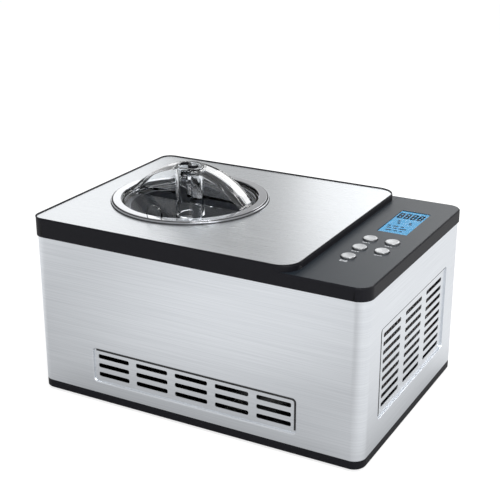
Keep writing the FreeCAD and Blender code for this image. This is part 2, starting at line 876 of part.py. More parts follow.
def panel_openings(body, z, depth):
    """Cut the display window and the button holes."""
    opening = flat_sketch(body, z)
    rectangle(opening, "panel_x - display_width / 2", "panel_x + display_width / 2",
              "display_y - display_length / 2", "display_y + display_length / 2")
    for x, y in button_places.values():
        circle(opening, x, y, "button_radius + button_gap")
    pocket(body, opening, depth)


panel_openings(bezel, "low_deck", "2 * deck_wall")
control_posts = [
    (f"panel_x + {side} * (panel_width / 2 - board_inset - post_radius)", y)
    for side in (-1, 1)
    for y in ("-(board_front - 2 * post_radius)", "board_rear - 2 * post_radius")
]
sketch = flat_sketch(bezel, "low_under")
for x, y in control_posts:
    circle(sketch, x, y, "post_radius")
pad(bezel, sketch, "low_under - board_top", reverse=True)

# Steel top plate
plate = new_body("top_plate")
sketch = flat_sketch(plate, "plate_seat")
plate_outline(sketch, "plate_border + fit_gap")
circle(sketch, "bowl_x", "0", "deck_hole")
pad(plate, sketch, "plate_wall")

# Chrome ring with the lid's seat inside and a groove near its outer edge
ring = turned("opening_ring", [
    ("seat_inner", "ring_bottom"),
    ("collar_radius", "ring_bottom"),
    ("collar_radius", "high_deck"),
    ("ring_radius", "high_deck"),
    ("ring_radius", "high_deck + ring_height - groove_depth"),
    ("ring_radius - groove_inset + groove_width", "high_deck + ring_height - groove_depth"),
    ("ring_radius - groove_inset + groove_width", "high_deck + ring_height - 2 * groove_depth"),
    ("ring_radius - groove_inset", "high_deck + ring_height - 2 * groove_depth"),
    ("ring_radius - groove_inset", "high_deck + ring_height"),
    ("ring_inner", "high_deck + ring_height"),
    ("ring_inner", "seat_top"),
    ("seat_inner", "seat_top"),
], "bowl_x")
soften(ring, "ring_round", lambda edge: level_edge(edge, "high_deck + ring_height"))

# Control overlay, display and buttons
overlay = new_body("control_overlay")
sketch = flat_sketch(overlay, "low_deck - overlay_wall")
panel_outline(sketch, "overlay_border + fit_gap")
pad(overlay, sketch, "overlay_wall")
panel_openings(overlay, "low_deck", "2 * overlay_wall")
for label, margin, wall, z in (
    ("display_lens", "-fit_gap", "deck_wall", "low_under"),
    ("lcd_panel", "display_border", "glass_wall", "low_under - glass_wall"),
    ("lcd_backlight", "display_border", "backlight_wall", "board_top"),
):
    width, length = f"display_width + 2 * ({margin})", f"display_length + 2 * ({margin})"
    keep(block(width, length, wall, "panel_x", "display_y", z), label)
for label, (x, y) in button_places.items():
    button = turned(label, [
        ("0", "low_under - fit_gap - button_flange"),
        ("button_radius + button_flange", "low_under - fit_gap - button_flange"),
        ("button_radius + button_flange", "low_under - fit_gap"),
        ("button_radius", "low_under - fit_gap"),
        ("button_radius", "low_deck + button_rise"),
        ("0", "low_deck + button_rise"),
    ], x, y)
    soften(button, "button_round", lambda edge: level_edge(edge, "low_deck + button_rise"))

# Control board under the low deck, with a push switch below each button
board = new_body("control_board")
sketch = flat_sketch(board, "board_top - board_wall")
rectangle(sketch, "panel_x - panel_width / 2 + board_inset", "panel_x + panel_width / 2 - board_inset",
          "-board_front", "board_rear")
pad(board, sketch, "board_wall")
switch_top = "low_under - fit_gap - button_flange - button_travel - switch_rest_gap"
switch_height = f"{switch_top} - plunger_height - board_top"
switches = []
for x, y in button_places.values():
    case = block("switch_side", "switch_side", switch_height, x, y, "board_top")
    plunger = rod("plunger_radius", "2 * plunger_height", x, y, f"{switch_top} - 2 * plunger_height")
    switches.append(fused("push_switch", [case, plunger]))
group("push_switches", switches)

# Clear lid: disc, hollow arched ridge, feed chute and thumb tab
lid = new_body("lid", "bowl_x")
sketch = flat_sketch(lid, "lid_bottom")
circle(sketch, "0", "0", "lid_radius")
pad(lid, sketch, "lid_plate")


def arch(sketch, half_span, foot, rise):
    """A circular arc over a level chord."""
    span, low, high = number(half_span), number(foot), number(foot) + number(rise)
    chord = sketch.addGeometry(Part.LineSegment(Vector(-span, low, 0), Vector(span, low, 0)))
    bow = sketch.addGeometry(Part.Arc(Vector(span, low, 0), Vector(0, high, 0), Vector(-span, low, 0)))
    radius = f"(({half_span}) * ({half_span}) + ({rise}) * ({rise})) / (2 * ({rise}))"
    centre = f"{foot} + {rise} - {radius}"
    drive(sketch, held(chord, 1, f"-({half_span})", foot) + held(chord, 2, half_span, foot) + [
        (Sketcher.Constraint("Coincident", chord, 2, bow, 1), None),
        (Sketcher.Constraint("Coincident", chord, 1, bow, 2), None),
        (Sketcher.Constraint("DistanceY", -1, 1, bow, 3, number(centre)), centre),
    ])


sketch = sketch_on(lid, "XZ_Plane")
arch(sketch, "ridge_span / 2", "lid_bottom", "arch_rise")
pad(lid, sketch, "ridge_width", middle=True)
sketch = sketch_on(lid, "XZ_Plane")
arch(sketch, "inner_span / 2", "lid_bottom", "inner_rise")
pocket(lid, sketch, "ridge_width - 2 * ridge_wall", middle=True)
sketch = flat_sketch(lid, "lid_bottom - chute_drop")
circle(sketch, "0", "0", "chute_radius")
pad(lid, sketch, "chute_top - lid_bottom + chute_drop")
sketch = flat_sketch(lid, "chute_top")
circle(sketch, "0", "0", "chute_bore - cap_ledge")
pocket(lid, sketch, "chute_top - lid_bottom + chute_drop")
sketch = flat_sketch(lid, "chute_top")
circle(sketch, "0", "0", "chute_bore")
pocket(lid, sketch, "cap_depth")
sketch = front_sketch(lid, "-lid_radius + tab_inset + tab_wall")
rectangle(sketch, "-tab_width / 2", "tab_width / 2", "lid_bottom + lid_plate / 2", "tab_shoulder")
pad(lid, sketch, "tab_wall")
sketch = front_sketch(lid, "-lid_radius + tab_inset + tab_wall")
arch(sketch, "tab_width / 2", "tab_shoulder", "tab_width / 2")
pad(lid, sketch, "tab_wall")

# Seal under the lid's edge
seal_profile = tube_profile("seat_inner + fit_gap", "lid_radius - fit_gap", "seat_top", "lid_bottom")
turned("lid_seal", seal_profile, "bowl_x")

# Filler cap in the chute's mouth, with a finger grip bent like an S
turned("filler_cap", [
    ("0", "cap_face - cap_wall"),
    ("cap_radius - cap_wall", "cap_face - cap_wall"),
    ("cap_radius - cap_wall", "cap_bottom"),
    ("cap_radius", "cap_bottom"),
    ("cap_radius", "chute_top"),
    ("cap_radius - cap_wall", "chute_top"),
    ("cap_radius - cap_wall", "cap_face"),
    ("0", "cap_face"),
], "bowl_x")


def half_ring(side):
    """One bow of the grip: half a ring beside the cap's middle."""
    centre = f"bowl_x + {side} * grip_arc"
    ring_half = doc.addObject("Part::Cut", "grip_bow")
    ring_half.Base = rod("grip_arc + grip_wall / 2", "grip_height", centre, "0", "cap_face")
    ring_half.Tool = rod("grip_arc - grip_wall / 2", "grip_height", centre, "0", "cap_face")
    for solid in (ring_half.Base, ring_half.Tool):
        solid.Angle = 180
        solid.Placement.Rotation = Rotation(Vector(0, 0, 1), 90 + 90 * side)
    return ring_half


keep(fused("cap_grip", [half_ring(-1), half_ring(1)]), "cap_grip")

# Lift-out bowl with a central spindle tube
turned("mixing_bowl", [
    ("spindle_bore", "bowl_under"),
    ("bowl_radius", "bowl_under"),
    ("bowl_radius", "rim_seat"),
    ("bowl_radius + bowl_rim", "rim_seat"),
    ("bowl_radius + bowl_rim", "rim_seat + bowl_wall"),
    ("bowl_radius - bowl_wall", "rim_seat + bowl_wall"),
    ("bowl_radius - bowl_wall", "bowl_floor"),
    ("spindle_radius", "bowl_floor"),
    ("spindle_radius", "spindle_top"),
    ("spindle_bore", "spindle_top"),
], "bowl_x")

# Paddle: windowed blades on a hub that drops over the spindle and the shaft's hexagon
PADDLE_TURN = Rotation(Vector(0, 0, 1), number("paddle_turn"))
paddle = new_body("paddle", "bowl_x", turn=PADDLE_TURN)
sketch = sketch_on(paddle, "XZ_Plane")
rectangle(sketch, "-paddle_radius", "paddle_radius", "hub_base", "hub_base + paddle_height")
pad(paddle, sketch, "paddle_wall", middle=True)
sketch = sketch_on(paddle, "XZ_Plane")
for side in (-1, 1):
    near, far = f"{side} * (hub_radius + paddle_bar)", f"{side} * (paddle_radius - paddle_bar)"
    middle_z = "hub_base + paddle_height / 2"
    rectangle(sketch, near, far, "hub_base + paddle_bar", f"{middle_z} - paddle_bar / 2")
    rectangle(sketch, near, far, f"{middle_z} + paddle_bar / 2", "hub_base + paddle_height - paddle_bar")
pocket(paddle, sketch, "2 * paddle_wall", middle=True)
sketch = flat_sketch(paddle, "hub_base")
circle(sketch, "0", "0", "hub_radius")
pad(paddle, sketch, "hex_top + hub_top - hub_base")
sketch = flat_sketch(paddle, "hub_base")
circle(sketch, "0", "0", "hub_bore")
pocket(paddle, sketch, "spindle_top + hub_gap - hub_base", reverse=True)


def hexagon(sketch, flats):
    """A regular hexagon by its width across flats."""
    corner, half = f"({flats}) / sqrt(3)", f"({flats}) / 2"
    polygon(sketch, [
        (corner, "0"),
        (f"{corner} / 2", half),
        (f"-{corner} / 2", half),
        (f"-{corner}", "0"),
        (f"-{corner} / 2", f"-{half}"),
        (f"{corner} / 2", f"-{half}"),
    ])


sketch = flat_sketch(paddle, "spindle_top")
hexagon(sketch, "hex_flats + 2 * hex_gap")
pocket(paddle, sketch, "hex_length + hub_gap", reverse=True)

# Cooling well, its gasket, the evaporator coil and the foam jacket
turned("cooling_well", [
    ("bush_radius + running_gap", "well_under"),
    ("well_outer", "well_under"),
    ("well_outer", "rim_seat - well_wall"),
    ("well_radius + well_flange", "rim_seat - well_wall"),
    ("well_radius + well_flange", "rim_seat"),
    ("well_radius", "rim_seat"),
    ("well_radius", "well_floor"),
    ("bush_radius + running_gap", "well_floor"),
], "bowl_x")
turned("well_gasket", tube_profile("seat_inner", "collar_radius", "rim_seat", "ring_bottom"), "bowl_x")
foam = turned("insulation_jacket", [
    ("foam_hole", "foam_base"),
    ("foam_outer", "foam_base"),
    ("foam_outer", "rim_seat - well_wall"),
    ("foam_inner", "rim_seat - well_wall"),
    ("foam_inner", "well_under"),
    ("foam_hole", "well_under"),
], "bowl_x")
sketch = side_sketch(foam, "0")
circle(sketch, "coil_radius", "coil_low", "2 * tube_radius")
circle(sketch, "-coil_radius", "coil_high", "2 * tube_radius")
pocket(foam, sketch, "foam_outer", reverse=True)


def swept(edges, radius):
    """A round bar along a smooth chain of edges."""
    path = Part.Wire(edges)
    start = path.Edges[0]
    heading = start.tangentAt(start.FirstParameter)
    section = Part.Wire([Part.makeCircle(radius, start.valueAt(start.FirstParameter), heading)])
    sweep = Part.BRepOffsetAPI.MakePipeShell(path)
    sweep.add(section)
    sweep.build()
    sweep.makeSolid()
    return sweep.shape()


def bent(points, bend):
    """Straight runs through points, joined by tangent arcs."""
    edges = []
    here = points[0]
    for before, corner, after in zip(points, points[1:], points[2:]):
        back = (before - corner).normalize()
        ahead = (after - corner).normalize()
        half_turn = (math.pi - back.getAngle(ahead)) / 2
        reach = bend * math.tan(half_turn)
        inward = (back + ahead).normalize()
        start, end = corner + back * reach, corner + ahead * reach
        middle = corner + inward * (bend / math.cos(half_turn) - bend)
        if here.distanceToPoint(start) > TINY:
            edges.append(Part.LineSegment(here, start).toShape())
        edges.append(Part.Arc(start, middle, end).toShape())
        here = end
    edges.append(Part.LineSegment(here, points[-1]).toShape())
    return edges


bowl_x = number("bowl_x")
coil_radius = number("coil_radius")
tube_radius = number("tube_radius")
bend_radius = number("bend_radius")


def coil_point(quarters):
    """A point on the coil, counted in quarter turns from its lower end at the back."""
    angle = math.radians(90 + 90 * quarters)
    height = number("coil_low") + number("coil_pitch") * quarters / 4
    return Vector(bowl_x + coil_radius * math.cos(angle), coil_radius * math.sin(angle), height)


quarter_turns = int(4 * number("coil_turns") + 2)
turns = [
    Part.Arc(coil_point(index), coil_point(index + 0.5), coil_point(index + 1)).toShape()
    for index in range(quarter_turns)
]
lead = number("coil_lead")
coil_inlet = coil_point(0) - turns[0].tangentAt(turns[0].FirstParameter) * lead
coil_outlet = coil_point(quarter_turns) + turns[-1].tangentAt(turns[-1].LastParameter) * lead
lead_in = Part.LineSegment(coil_inlet, coil_point(0)).toShape()
lead_out = Part.LineSegment(coil_point(quarter_turns), coil_outlet).toShape()
shaped("evaporator_coil", swept([lead_in] + turns + [lead_out], tube_radius))

# Drive shaft with its hexagon, and the bush that carries it in the well's floor
shaft = turned("drive_shaft", [
    ("0", "motor_plate_under"),
    ("shaft_radius", "motor_plate_under"),
    ("shaft_radius", "spindle_top"),
    ("0", "spindle_top"),
], "bowl_x", turn=PADDLE_TURN)
sketch = flat_sketch(shaft, "spindle_top")
hexagon(sketch, "hex_flats")
pad(shaft, sketch, "hex_length")
turned("well_bushing", [
    ("shaft_radius + running_gap", "well_under - bush_flange"),
    ("bush_radius + bush_flange", "well_under - bush_flange"),
    ("bush_radius + bush_flange", "well_under"),
    ("bush_radius", "well_under"),
    ("bush_radius", "well_floor"),
    ("shaft_radius + running_gap", "well_floor"),
], "bowl_x")

# Gearbox: steel plate on posts, domed cover, bush for the drive shaft, pin for the middle gear
motor_plate = new_body("gearbox_plate")
sketch = flat_sketch(motor_plate, "motor_plate_under")
rounded(sketch, "motor_x - gearbox_half - drive_post_edge", "bowl_x + gearbox_half + drive_post_edge",
        "-(drive_post_y + drive_post_edge)", "drive_post_y + drive_post_edge", "drive_post_edge")
circle(sketch, "bowl_x", "0", "shaft_radius + running_gap")
circle(sketch, "bowl_x - gear_centres", "0", "pin_radius + running_gap")
circle(sketch, "motor_x", "0", "2 * pin_radius")
for x, y in drive_posts:
    circle(sketch, x, y, "screw_radius + fit_gap")
pad(motor_plate, sketch, "motor_plate_wall")
cover = new_body("gearbox_cover")
sketch = flat_sketch(cover, "motor_plate_top")
slot(sketch, "motor_x - gearbox_half", "0", "2 * gear_centres + 2 * gearbox_half", "2 * gearbox_half")
pad(cover, sketch, "gearbox_height")
sketch = flat_sketch(cover, "motor_plate_top")
cover_bore = "2 * (gearbox_half - gearbox_wall)"
slot(sketch, "motor_x - gearbox_half + gearbox_wall", "0", f"2 * gear_centres + {cover_bore}", cover_bore)
pocket(cover, sketch, "gearbox_height - gearbox_wall", reverse=True)
sketch = flat_sketch(cover, "gearbox_top")
circle(sketch, "bowl_x", "0", "bush_radius + running_gap")
pocket(cover, sketch, "2 * gearbox_wall")
turned("gearbox_bushing", [
    ("shaft_radius + running_gap", "gearbox_top - gearbox_wall"),
    ("bush_radius", "gearbox_top - gearbox_wall"),
    ("bush_radius", "gearbox_top"),
    ("bush_radius + bush_flange", "gearbox_top"),
    ("bush_radius + bush_flange", "gearbox_top + gearbox_gap / 2"),
    ("shaft_radius + running_gap", "gearbox_top + gearbox_gap / 2"),
], "bowl_x")
keep(rod("pin_radius", "gearbox_height - gearbox_wall + motor_plate_wall", "bowl_x - gear_centres", "0",
         "motor_plate_under"), "intermediate_pin")
gearbox_screws = []
for x, y in drive_posts:
    shank = rod("screw_radius", "screw_length", x, y, "motor_plate_top - screw_length")
    head = rod("screw_head_radius", "screw_head_height", x, y, "motor_plate_top")
    gearbox_screws.append(fused("gearbox_screw", [shank, head]))
group("gearbox_screws", gearbox_screws)

# Gears with involute teeth, thinned by their play
PRESSURE_ANGLE = math.radians(20)
ROOT_MODULES = 1.25
FLANK_STEPS = 4


def involute(angle):
    return math.tan(angle) - angle


def gear(teeth, bore, low, width, x, first_tooth):
    """A spur gear by its tooth count, bore and place, with one tooth at a given angle."""
    module = number("gear_module")
    pitch_radius = module * teeth / 2
    base_radius = pitch_radius * math.cos(PRESSURE_ANGLE)
    root_radius = pitch_radius - ROOT_MODULES * module
    tip_radius = pitch_radius + module
    pitch_half = (math.pi * module / 2 - number("tooth_play")) / (2 * pitch_radius)
    start_radius = max(base_radius, root_radius)
    flank = []
    for step in range(FLANK_STEPS + 1):
        radius = start_radius + (tip_radius - start_radius) * step / FLANK_STEPS
        half = pitch_half + involute(PRESSURE_ANGLE) - involute(math.acos(base_radius / radius))
        flank.append((radius, half))
    flank.insert(0, (root_radius, flank[0][1]))
    outline = []
    for tooth in range(teeth):
        middle = math.radians(first_tooth) + 2 * math.pi * tooth / teeth
        spots = [(radius, middle - half) for radius, half in flank]
        spots += [(radius, middle + half) for radius, half in reversed(flank)]
        outline += [Vector(radius * math.cos(angle), radius * math.sin(angle), 0) for radius, angle in spots]
    face = Part.Face(Part.makePolygon(outline + outline[:1]))
    solid = face.extrude(Vector(0, 0, width)).cut(Part.makeCylinder(bore, width))
    solid.translate(Vector(x, 0, low))
    return solid


gear_teeth = int(number("gear_teeth"))
pinion_teeth = int(number("pinion_teeth"))
running_gap = number("running_gap")
gear_width = number("gear_width")
gear_space = number("gear_space")
first_stage = number("first_stage")
second_stage = number("second_stage")
pin_bore = number("pin_radius") + running_gap
shaft_bore = number("shaft_radius") + running_gap
middle_x = bowl_x - number("gear_centres")
motor_x = number("motor_x")
half_tooth = 180 / pinion_teeth
shaped("output_gear", gear(gear_teeth, shaft_bore, second_stage, gear_width, bowl_x, 180))
wheel = gear(gear_teeth, pin_bore, first_stage, gear_width, middle_x, 180)
neck = gear(pinion_teeth, pin_bore, first_stage + gear_width, gear_space + gear_width, middle_x, half_tooth)
shaped("intermediate_gear", wheel.fuse(neck))
shaped("motor_pinion", gear(pinion_teeth, pin_bore, first_stage, gear_width, motor_x, half_tooth))

# Drive motor under the plate, with its shaft
turned("drive_motor", [
    ("0", "motor_plate_under - motor_height"),
    ("motor_radius", "motor_plate_under - motor_height"),
    ("motor_radius", "motor_plate_under"),
    ("pin_radius + running_gap", "motor_plate_under"),
    ("pin_radius + running_gap", "motor_plate_under - motor_shaft_socket"),
    ("0", "motor_plate_under - motor_shaft_socket"),
], "motor_x")
socket_floor = "motor_plate_under - motor_shaft_socket + fit_gap"
motor_shaft_length = f"first_stage + gear_width - ({socket_floor})"
keep(rod("pin_radius", motor_shaft_length, "motor_x", "0", socket_floor), "motor_shaft")

# Compressor with its pipe stubs, on a plate and rubber grommets
shell = turned("compressor_shell", [
    ("0", "compressor_bottom"),
    ("compressor_radius - compressor_dome", "compressor_bottom"),
    ("compressor_radius", "compressor_bottom + compressor_dome"),
    ("compressor_radius", "compressor_top - compressor_dome"),
    ("compressor_radius - compressor_dome", "compressor_top"),
    ("0", "compressor_top"),
], "compressor_x", "compressor_y", whole=False)
dome_levels = ("compressor_bottom + compressor_dome", "compressor_top - compressor_dome")
soften(shell, "compressor_dome", lambda edge: any(level_edge(edge, z) for z in dome_levels))
stubs = [
    rod("tube_radius", "2 * stub_rise", x, y, "compressor_top - stub_rise")
    for x, y in (("suction_x", "-coil_radius"), ("discharge_x", "compressor_y"))
]
keep(fused("compressor", [shell] + stubs), "compressor")
mount_plate = new_body("compressor_plate", "compressor_x", "compressor_y")
sketch = flat_sketch(mount_plate, "floor_top + grommet_height")
plate_width, plate_depth = "2 * (stud_x + mount_plate_margin)", "2 * (stud_y + mount_plate_margin)"
centred(sketch, plate_width, plate_depth, "mount_plate_margin")
for side in (-1, 1):
    for end in (-1, 1):
        circle(sketch, f"{side} * stud_x", f"{end} * stud_y", "stud_radius")
pad(mount_plate, sketch, "mount_plate_wall")
grommets = []
for x, y in mount_studs:
    grommet = doc.addObject("Part::Cut", "grommet")
    grommet.Base = rod("grommet_radius", "grommet_height", x, y, "floor_top")
    grommet.Tool = rod("stud_radius", "grommet_height", x, y, "floor_top")
    grommets.append(grommet)
group("compressor_grommets", grommets)

# Condenser: one tube in level rows, through fins and two end brackets
condenser_x = number("condenser_x")
turn_y = number("turn_y")
tail_y = number("tail_y")
condenser_rise = number("condenser_rise")
condenser_top = number("condenser_top")
condenser_pitch = number("condenser_pitch")
row_count = int(number("condenser_rows"))
row_heights = [condenser_top - condenser_pitch * index for index in range(row_count)]
route = [Vector(condenser_x, -turn_y, row_heights[0])]
for index, height in enumerate(row_heights[:-1]):
    side = 1 if index % 2 == 0 else -1
    route += [Vector(condenser_x, side * turn_y, level) for level in (height, height - condenser_pitch)]
half_pitch = condenser_pitch / 2
rows = bent(route + [Vector(condenser_x, turn_y, row_heights[-1])], half_pitch)
tail = bent([
    Vector(condenser_x, turn_y, condenser_rise),
    Vector(condenser_x, tail_y, condenser_rise),
    Vector(number("drier_x"), tail_y, condenser_rise),
], bend_radius)
shaped("condenser_coil", swept(rows + tail, tube_radius))


def pierced_plates(length, width, low, top, places):
    """Upright plates across the condenser, alike, with a hole for each row of tube."""
    plate = Part.makeBox(length, width, top - low, Vector(condenser_x - length / 2, -width / 2, low))
    for height in row_heights:
        start = Vector(condenser_x, -width, height)
        plate = plate.cut(Part.makeCylinder(tube_radius + running_gap, 2 * width, start, Vector(0, 1, 0)))
    return Part.makeCompound([plate.translated(Vector(0, y, 0)) for y in places])


fin_margin = number("fin_margin")
bracket_wall = number("bracket_wall")
bracket_y = number("condenser_length") / 2 - bracket_wall
fin_pitch = number("fin_pitch")
fin_count = 2 * int((bracket_y - fin_pitch) / fin_pitch) + 1
fin_places = [(index - fin_count // 2) * fin_pitch for index in range(fin_count)]
fin_depth, fin_wall = number("condenser_depth"), number("fin_wall")
fin_bottom, fin_top = condenser_rise - fin_margin, condenser_top + fin_margin
shaped("condenser_fins", pierced_plates(fin_depth, fin_wall, fin_bottom, fin_top, fin_places))

bracket_depth = 2 * number("bracket_half_depth")
bracket_bottom, bracket_top = number("floor_top"), number("bracket_top")
brackets = pierced_plates(bracket_depth, bracket_wall, bracket_bottom, bracket_top, [-bracket_y, bracket_y])
shaped("condenser_brackets", brackets)

# Pipes between compressor, condenser, filter drier and evaporator
joint_gap = number("fit_gap / 2")
outlet_heading = (coil_outlet - coil_point(quarter_turns)).normalize()
corner = coil_outlet + outlet_heading * ((number("suction_x") - coil_outlet.x) / outlet_heading.x)
shaped("suction_line", swept(bent([
    coil_outlet + outlet_heading * joint_gap, corner, Vector(corner.x, corner.y, number("stub_top")),
], bend_radius), tube_radius))
line_top = number("stub_top + line_rise")
discharge = Vector(number("discharge_x"), number("compressor_y"), number("stub_top"))
shaped("discharge_line", swept(bent([
    discharge,
    Vector(discharge.x, discharge.y, line_top),
    Vector(condenser_x, discharge.y, line_top),
    Vector(condenser_x, -tail_y, line_top),
    Vector(condenser_x, -tail_y, condenser_top),
    Vector(condenser_x, -turn_y, condenser_top),
], bend_radius), tube_radius))
turned("filter_drier", [
    ("0", "0"),
    ("tube_radius", "0"),
    ("drier_radius", "drier_cone"),
    ("drier_radius", "drier_length - drier_cone"),
    ("tube_radius", "drier_length"),
    ("0", "drier_length"),
], "drier_x - drier_length", "tail_y", "condenser_rise", UPRIGHT_TO_X)
drier_left = Vector(number("drier_x - drier_length"), tail_y, condenser_rise)
rise_x = coil_inlet.x + number("capillary_reach")
shaped("capillary_tube", swept(bent([
    drier_left,
    Vector(rise_x, tail_y, drier_left.z),
    Vector(rise_x, tail_y, coil_inlet.z),
    Vector(rise_x, coil_inlet.y, coil_inlet.z),
    coil_inlet + Vector(joint_gap, 0, 0),
], bend_radius), number("capillary_radius")))

# Fan: shroud with a motor bridge, motor and bladed wheel
hole_radius = "(fan_radius + fan_gap)"
leg_y = f"({hole_radius} + 2 * spider_wall)"
screen_x, screen_height = "shroud_x - shroud_wall / 2", "bracket_top - floor_top"
screen = block("shroud_wall", "condenser_length", screen_height, screen_x, "0", "floor_top")
spider_low = "fan_z - spider_height / 2"
bridge_width = f"2 * {leg_y} + spider_wall"
bridge = block("spider_wall", bridge_width, "spider_height", "spider_x - spider_wall / 2", "0", spider_low)
leg_length = "(shroud_x - shroud_wall - spider_x + spider_wall)"
leg_x = f"spider_x - spider_wall + {leg_length} / 2"
legs = [
    block(leg_length, "spider_wall", "spider_height", leg_x, f"{side} * {leg_y}", spider_low)
    for side in (-1, 1)
]
air_hole = rod(hole_radius, "4 * shroud_wall", "shroud_x - 2 * shroud_wall", "0", "fan_z")
air_hole.Placement.Rotation = UPRIGHT_TO_X
shroud = doc.addObject("Part::Cut", "fan_shroud")
shroud.Base = fused("shroud_frame", [screen, bridge] + legs)
shroud.Tool = air_hole
keep(shroud, "fan_shroud")
turned("fan_motor", [
    ("0", "0"),
    ("fan_motor_radius", "0"),
    ("fan_motor_radius", "fan_motor_length"),
    ("fan_pin_radius + running_gap", "fan_motor_length"),
    ("fan_pin_radius + running_gap", "fan_motor_length - fan_pin_length"),
    ("0", "fan_motor_length - fan_pin_length"),
], "spider_x", "0", "fan_z", UPRIGHT_TO_X)
hub_length = number("fan_hub_length")
hub_radius = number("fan_hub_radius")
pin_length = number("fan_pin_length + fan_clearance - fit_gap")
wheel_axis = Vector(1, 0, 0)
wheel_base = Vector(number("fan_x") - hub_length, 0, number("fan_z"))
fan_wheel = Part.makeCylinder(hub_radius, hub_length, wheel_base, wheel_axis)
fan_wheel = fan_wheel.fuse(Part.makeCylinder(number("fan_pin_radius"), pin_length, wheel_base, -wheel_axis))
chord = number("fan_blade_chord")
blade_wall = number("fan_blade_wall")
blade_count = int(number("fan_blades"))
blade_root = hub_radius / 2
for index in range(blade_count):
    blade = Part.makeBox(blade_wall, chord, number("fan_radius") - blade_root,
                         Vector(-blade_wall / 2, -chord / 2, blade_root))
    blade.rotate(Vector(), Vector(0, 0, 1), number("fan_blade_pitch"))
    blade.rotate(Vector(), wheel_axis, 360 * index / blade_count)
    blade.translate(wheel_base + wheel_axis * (hub_length / 2))
    fan_wheel = fan_wheel.fuse(blade)
shaped("condenser_fan", fan_wheel)

# Power board on its posts, with the parts that stand on it
keep(block("power_board_width", "power_board_depth", "board_wall", "power_board_x", "power_board_y",
           "floor_top + power_board_rise"), "power_board")
left_x, right_x = "power_board_x - power_part_x", "power_board_x + power_part_x"
front_y, rear_y = "power_board_y - power_part_y", "power_board_y + power_part_y"
power_parts = [
    block("transformer_length", "transformer_depth", "transformer_height", left_x, rear_y, "power_board_top"),
    rod("capacitor_radius", "capacitor_height", left_x, front_y, "power_board_top"),
]
for y in (front_y, rear_y):
    power_parts.append(block("relay_length", "relay_depth", "relay_height", right_x, y, "power_board_top"))
group("power_parts", power_parts)

# Every object has to be sound before a file is written
doc.recompute()
failed = [thing.Label for thing in doc.Objects if "Invalid" in thing.State or "Error" in thing.State]
if failed:
    raise RuntimeError(f"failed objects: {failed}")
for thing in nodes:
    if thing.Shape.isNull() or not thing.Shape.isValid() or not thing.Shape.Solids:
        raise RuntimeError(f"bad shape: {thing.Label}")
os.makedirs("parts", exist_ok=True)
for thing in nodes:
    thing.Shape.exportStep(f"parts/{thing.Label}.step")
print(len(nodes), "sub-parts written")
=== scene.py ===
# %% [markdown]
# # A compressor ice cream maker
# The CAD model gives every piece its size and place. This notebook gives the pieces their looks: soft edges,
# brushed steel, clear and black plastic, a lit display, a white studio and the camera. Lengths are written in
# millimetres, and `MM` turns them into Blender's metres.

# %% Load the CAD frame
import math

import bmesh
import bpy
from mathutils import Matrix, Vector


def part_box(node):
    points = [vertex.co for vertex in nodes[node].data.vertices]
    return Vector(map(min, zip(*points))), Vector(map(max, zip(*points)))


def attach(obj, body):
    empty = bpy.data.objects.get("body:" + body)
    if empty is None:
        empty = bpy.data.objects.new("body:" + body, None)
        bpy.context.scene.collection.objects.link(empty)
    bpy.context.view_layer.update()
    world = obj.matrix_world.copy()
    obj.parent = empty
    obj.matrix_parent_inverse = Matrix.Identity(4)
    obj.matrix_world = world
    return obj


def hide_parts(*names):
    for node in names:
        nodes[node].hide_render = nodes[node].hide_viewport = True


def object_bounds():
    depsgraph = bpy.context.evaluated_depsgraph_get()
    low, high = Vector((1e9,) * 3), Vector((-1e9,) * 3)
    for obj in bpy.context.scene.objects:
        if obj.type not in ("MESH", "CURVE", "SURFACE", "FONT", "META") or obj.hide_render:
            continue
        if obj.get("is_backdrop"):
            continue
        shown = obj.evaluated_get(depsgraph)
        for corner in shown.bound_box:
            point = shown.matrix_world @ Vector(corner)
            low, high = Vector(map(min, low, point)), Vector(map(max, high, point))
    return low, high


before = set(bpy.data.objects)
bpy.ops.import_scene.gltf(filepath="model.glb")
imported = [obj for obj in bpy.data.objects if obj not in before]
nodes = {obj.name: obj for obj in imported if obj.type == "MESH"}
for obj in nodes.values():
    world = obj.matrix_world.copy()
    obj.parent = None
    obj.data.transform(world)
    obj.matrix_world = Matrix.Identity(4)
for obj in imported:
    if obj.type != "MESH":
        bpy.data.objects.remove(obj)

MM = 0.001
BOWL_X = -80.0
scene = bpy.context.scene
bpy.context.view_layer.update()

# %% [markdown]
# ## Materials
# A material could be one flat colour, but real plastic and metal vary a little all over. Each material here is a
# Principled shader whose colour, roughness and bump come from one noise, stretched where the surface is brushed.
# The noise uses Object coordinates, so that it stays on the piece in every view.

# %% One recipe for all surfaces
RAMP_ENDS = (0.3, 0.7)
GRAIN_DETAIL = 5.0
GRAIN_HEIGHT = 0.2 * MM
mats = {}


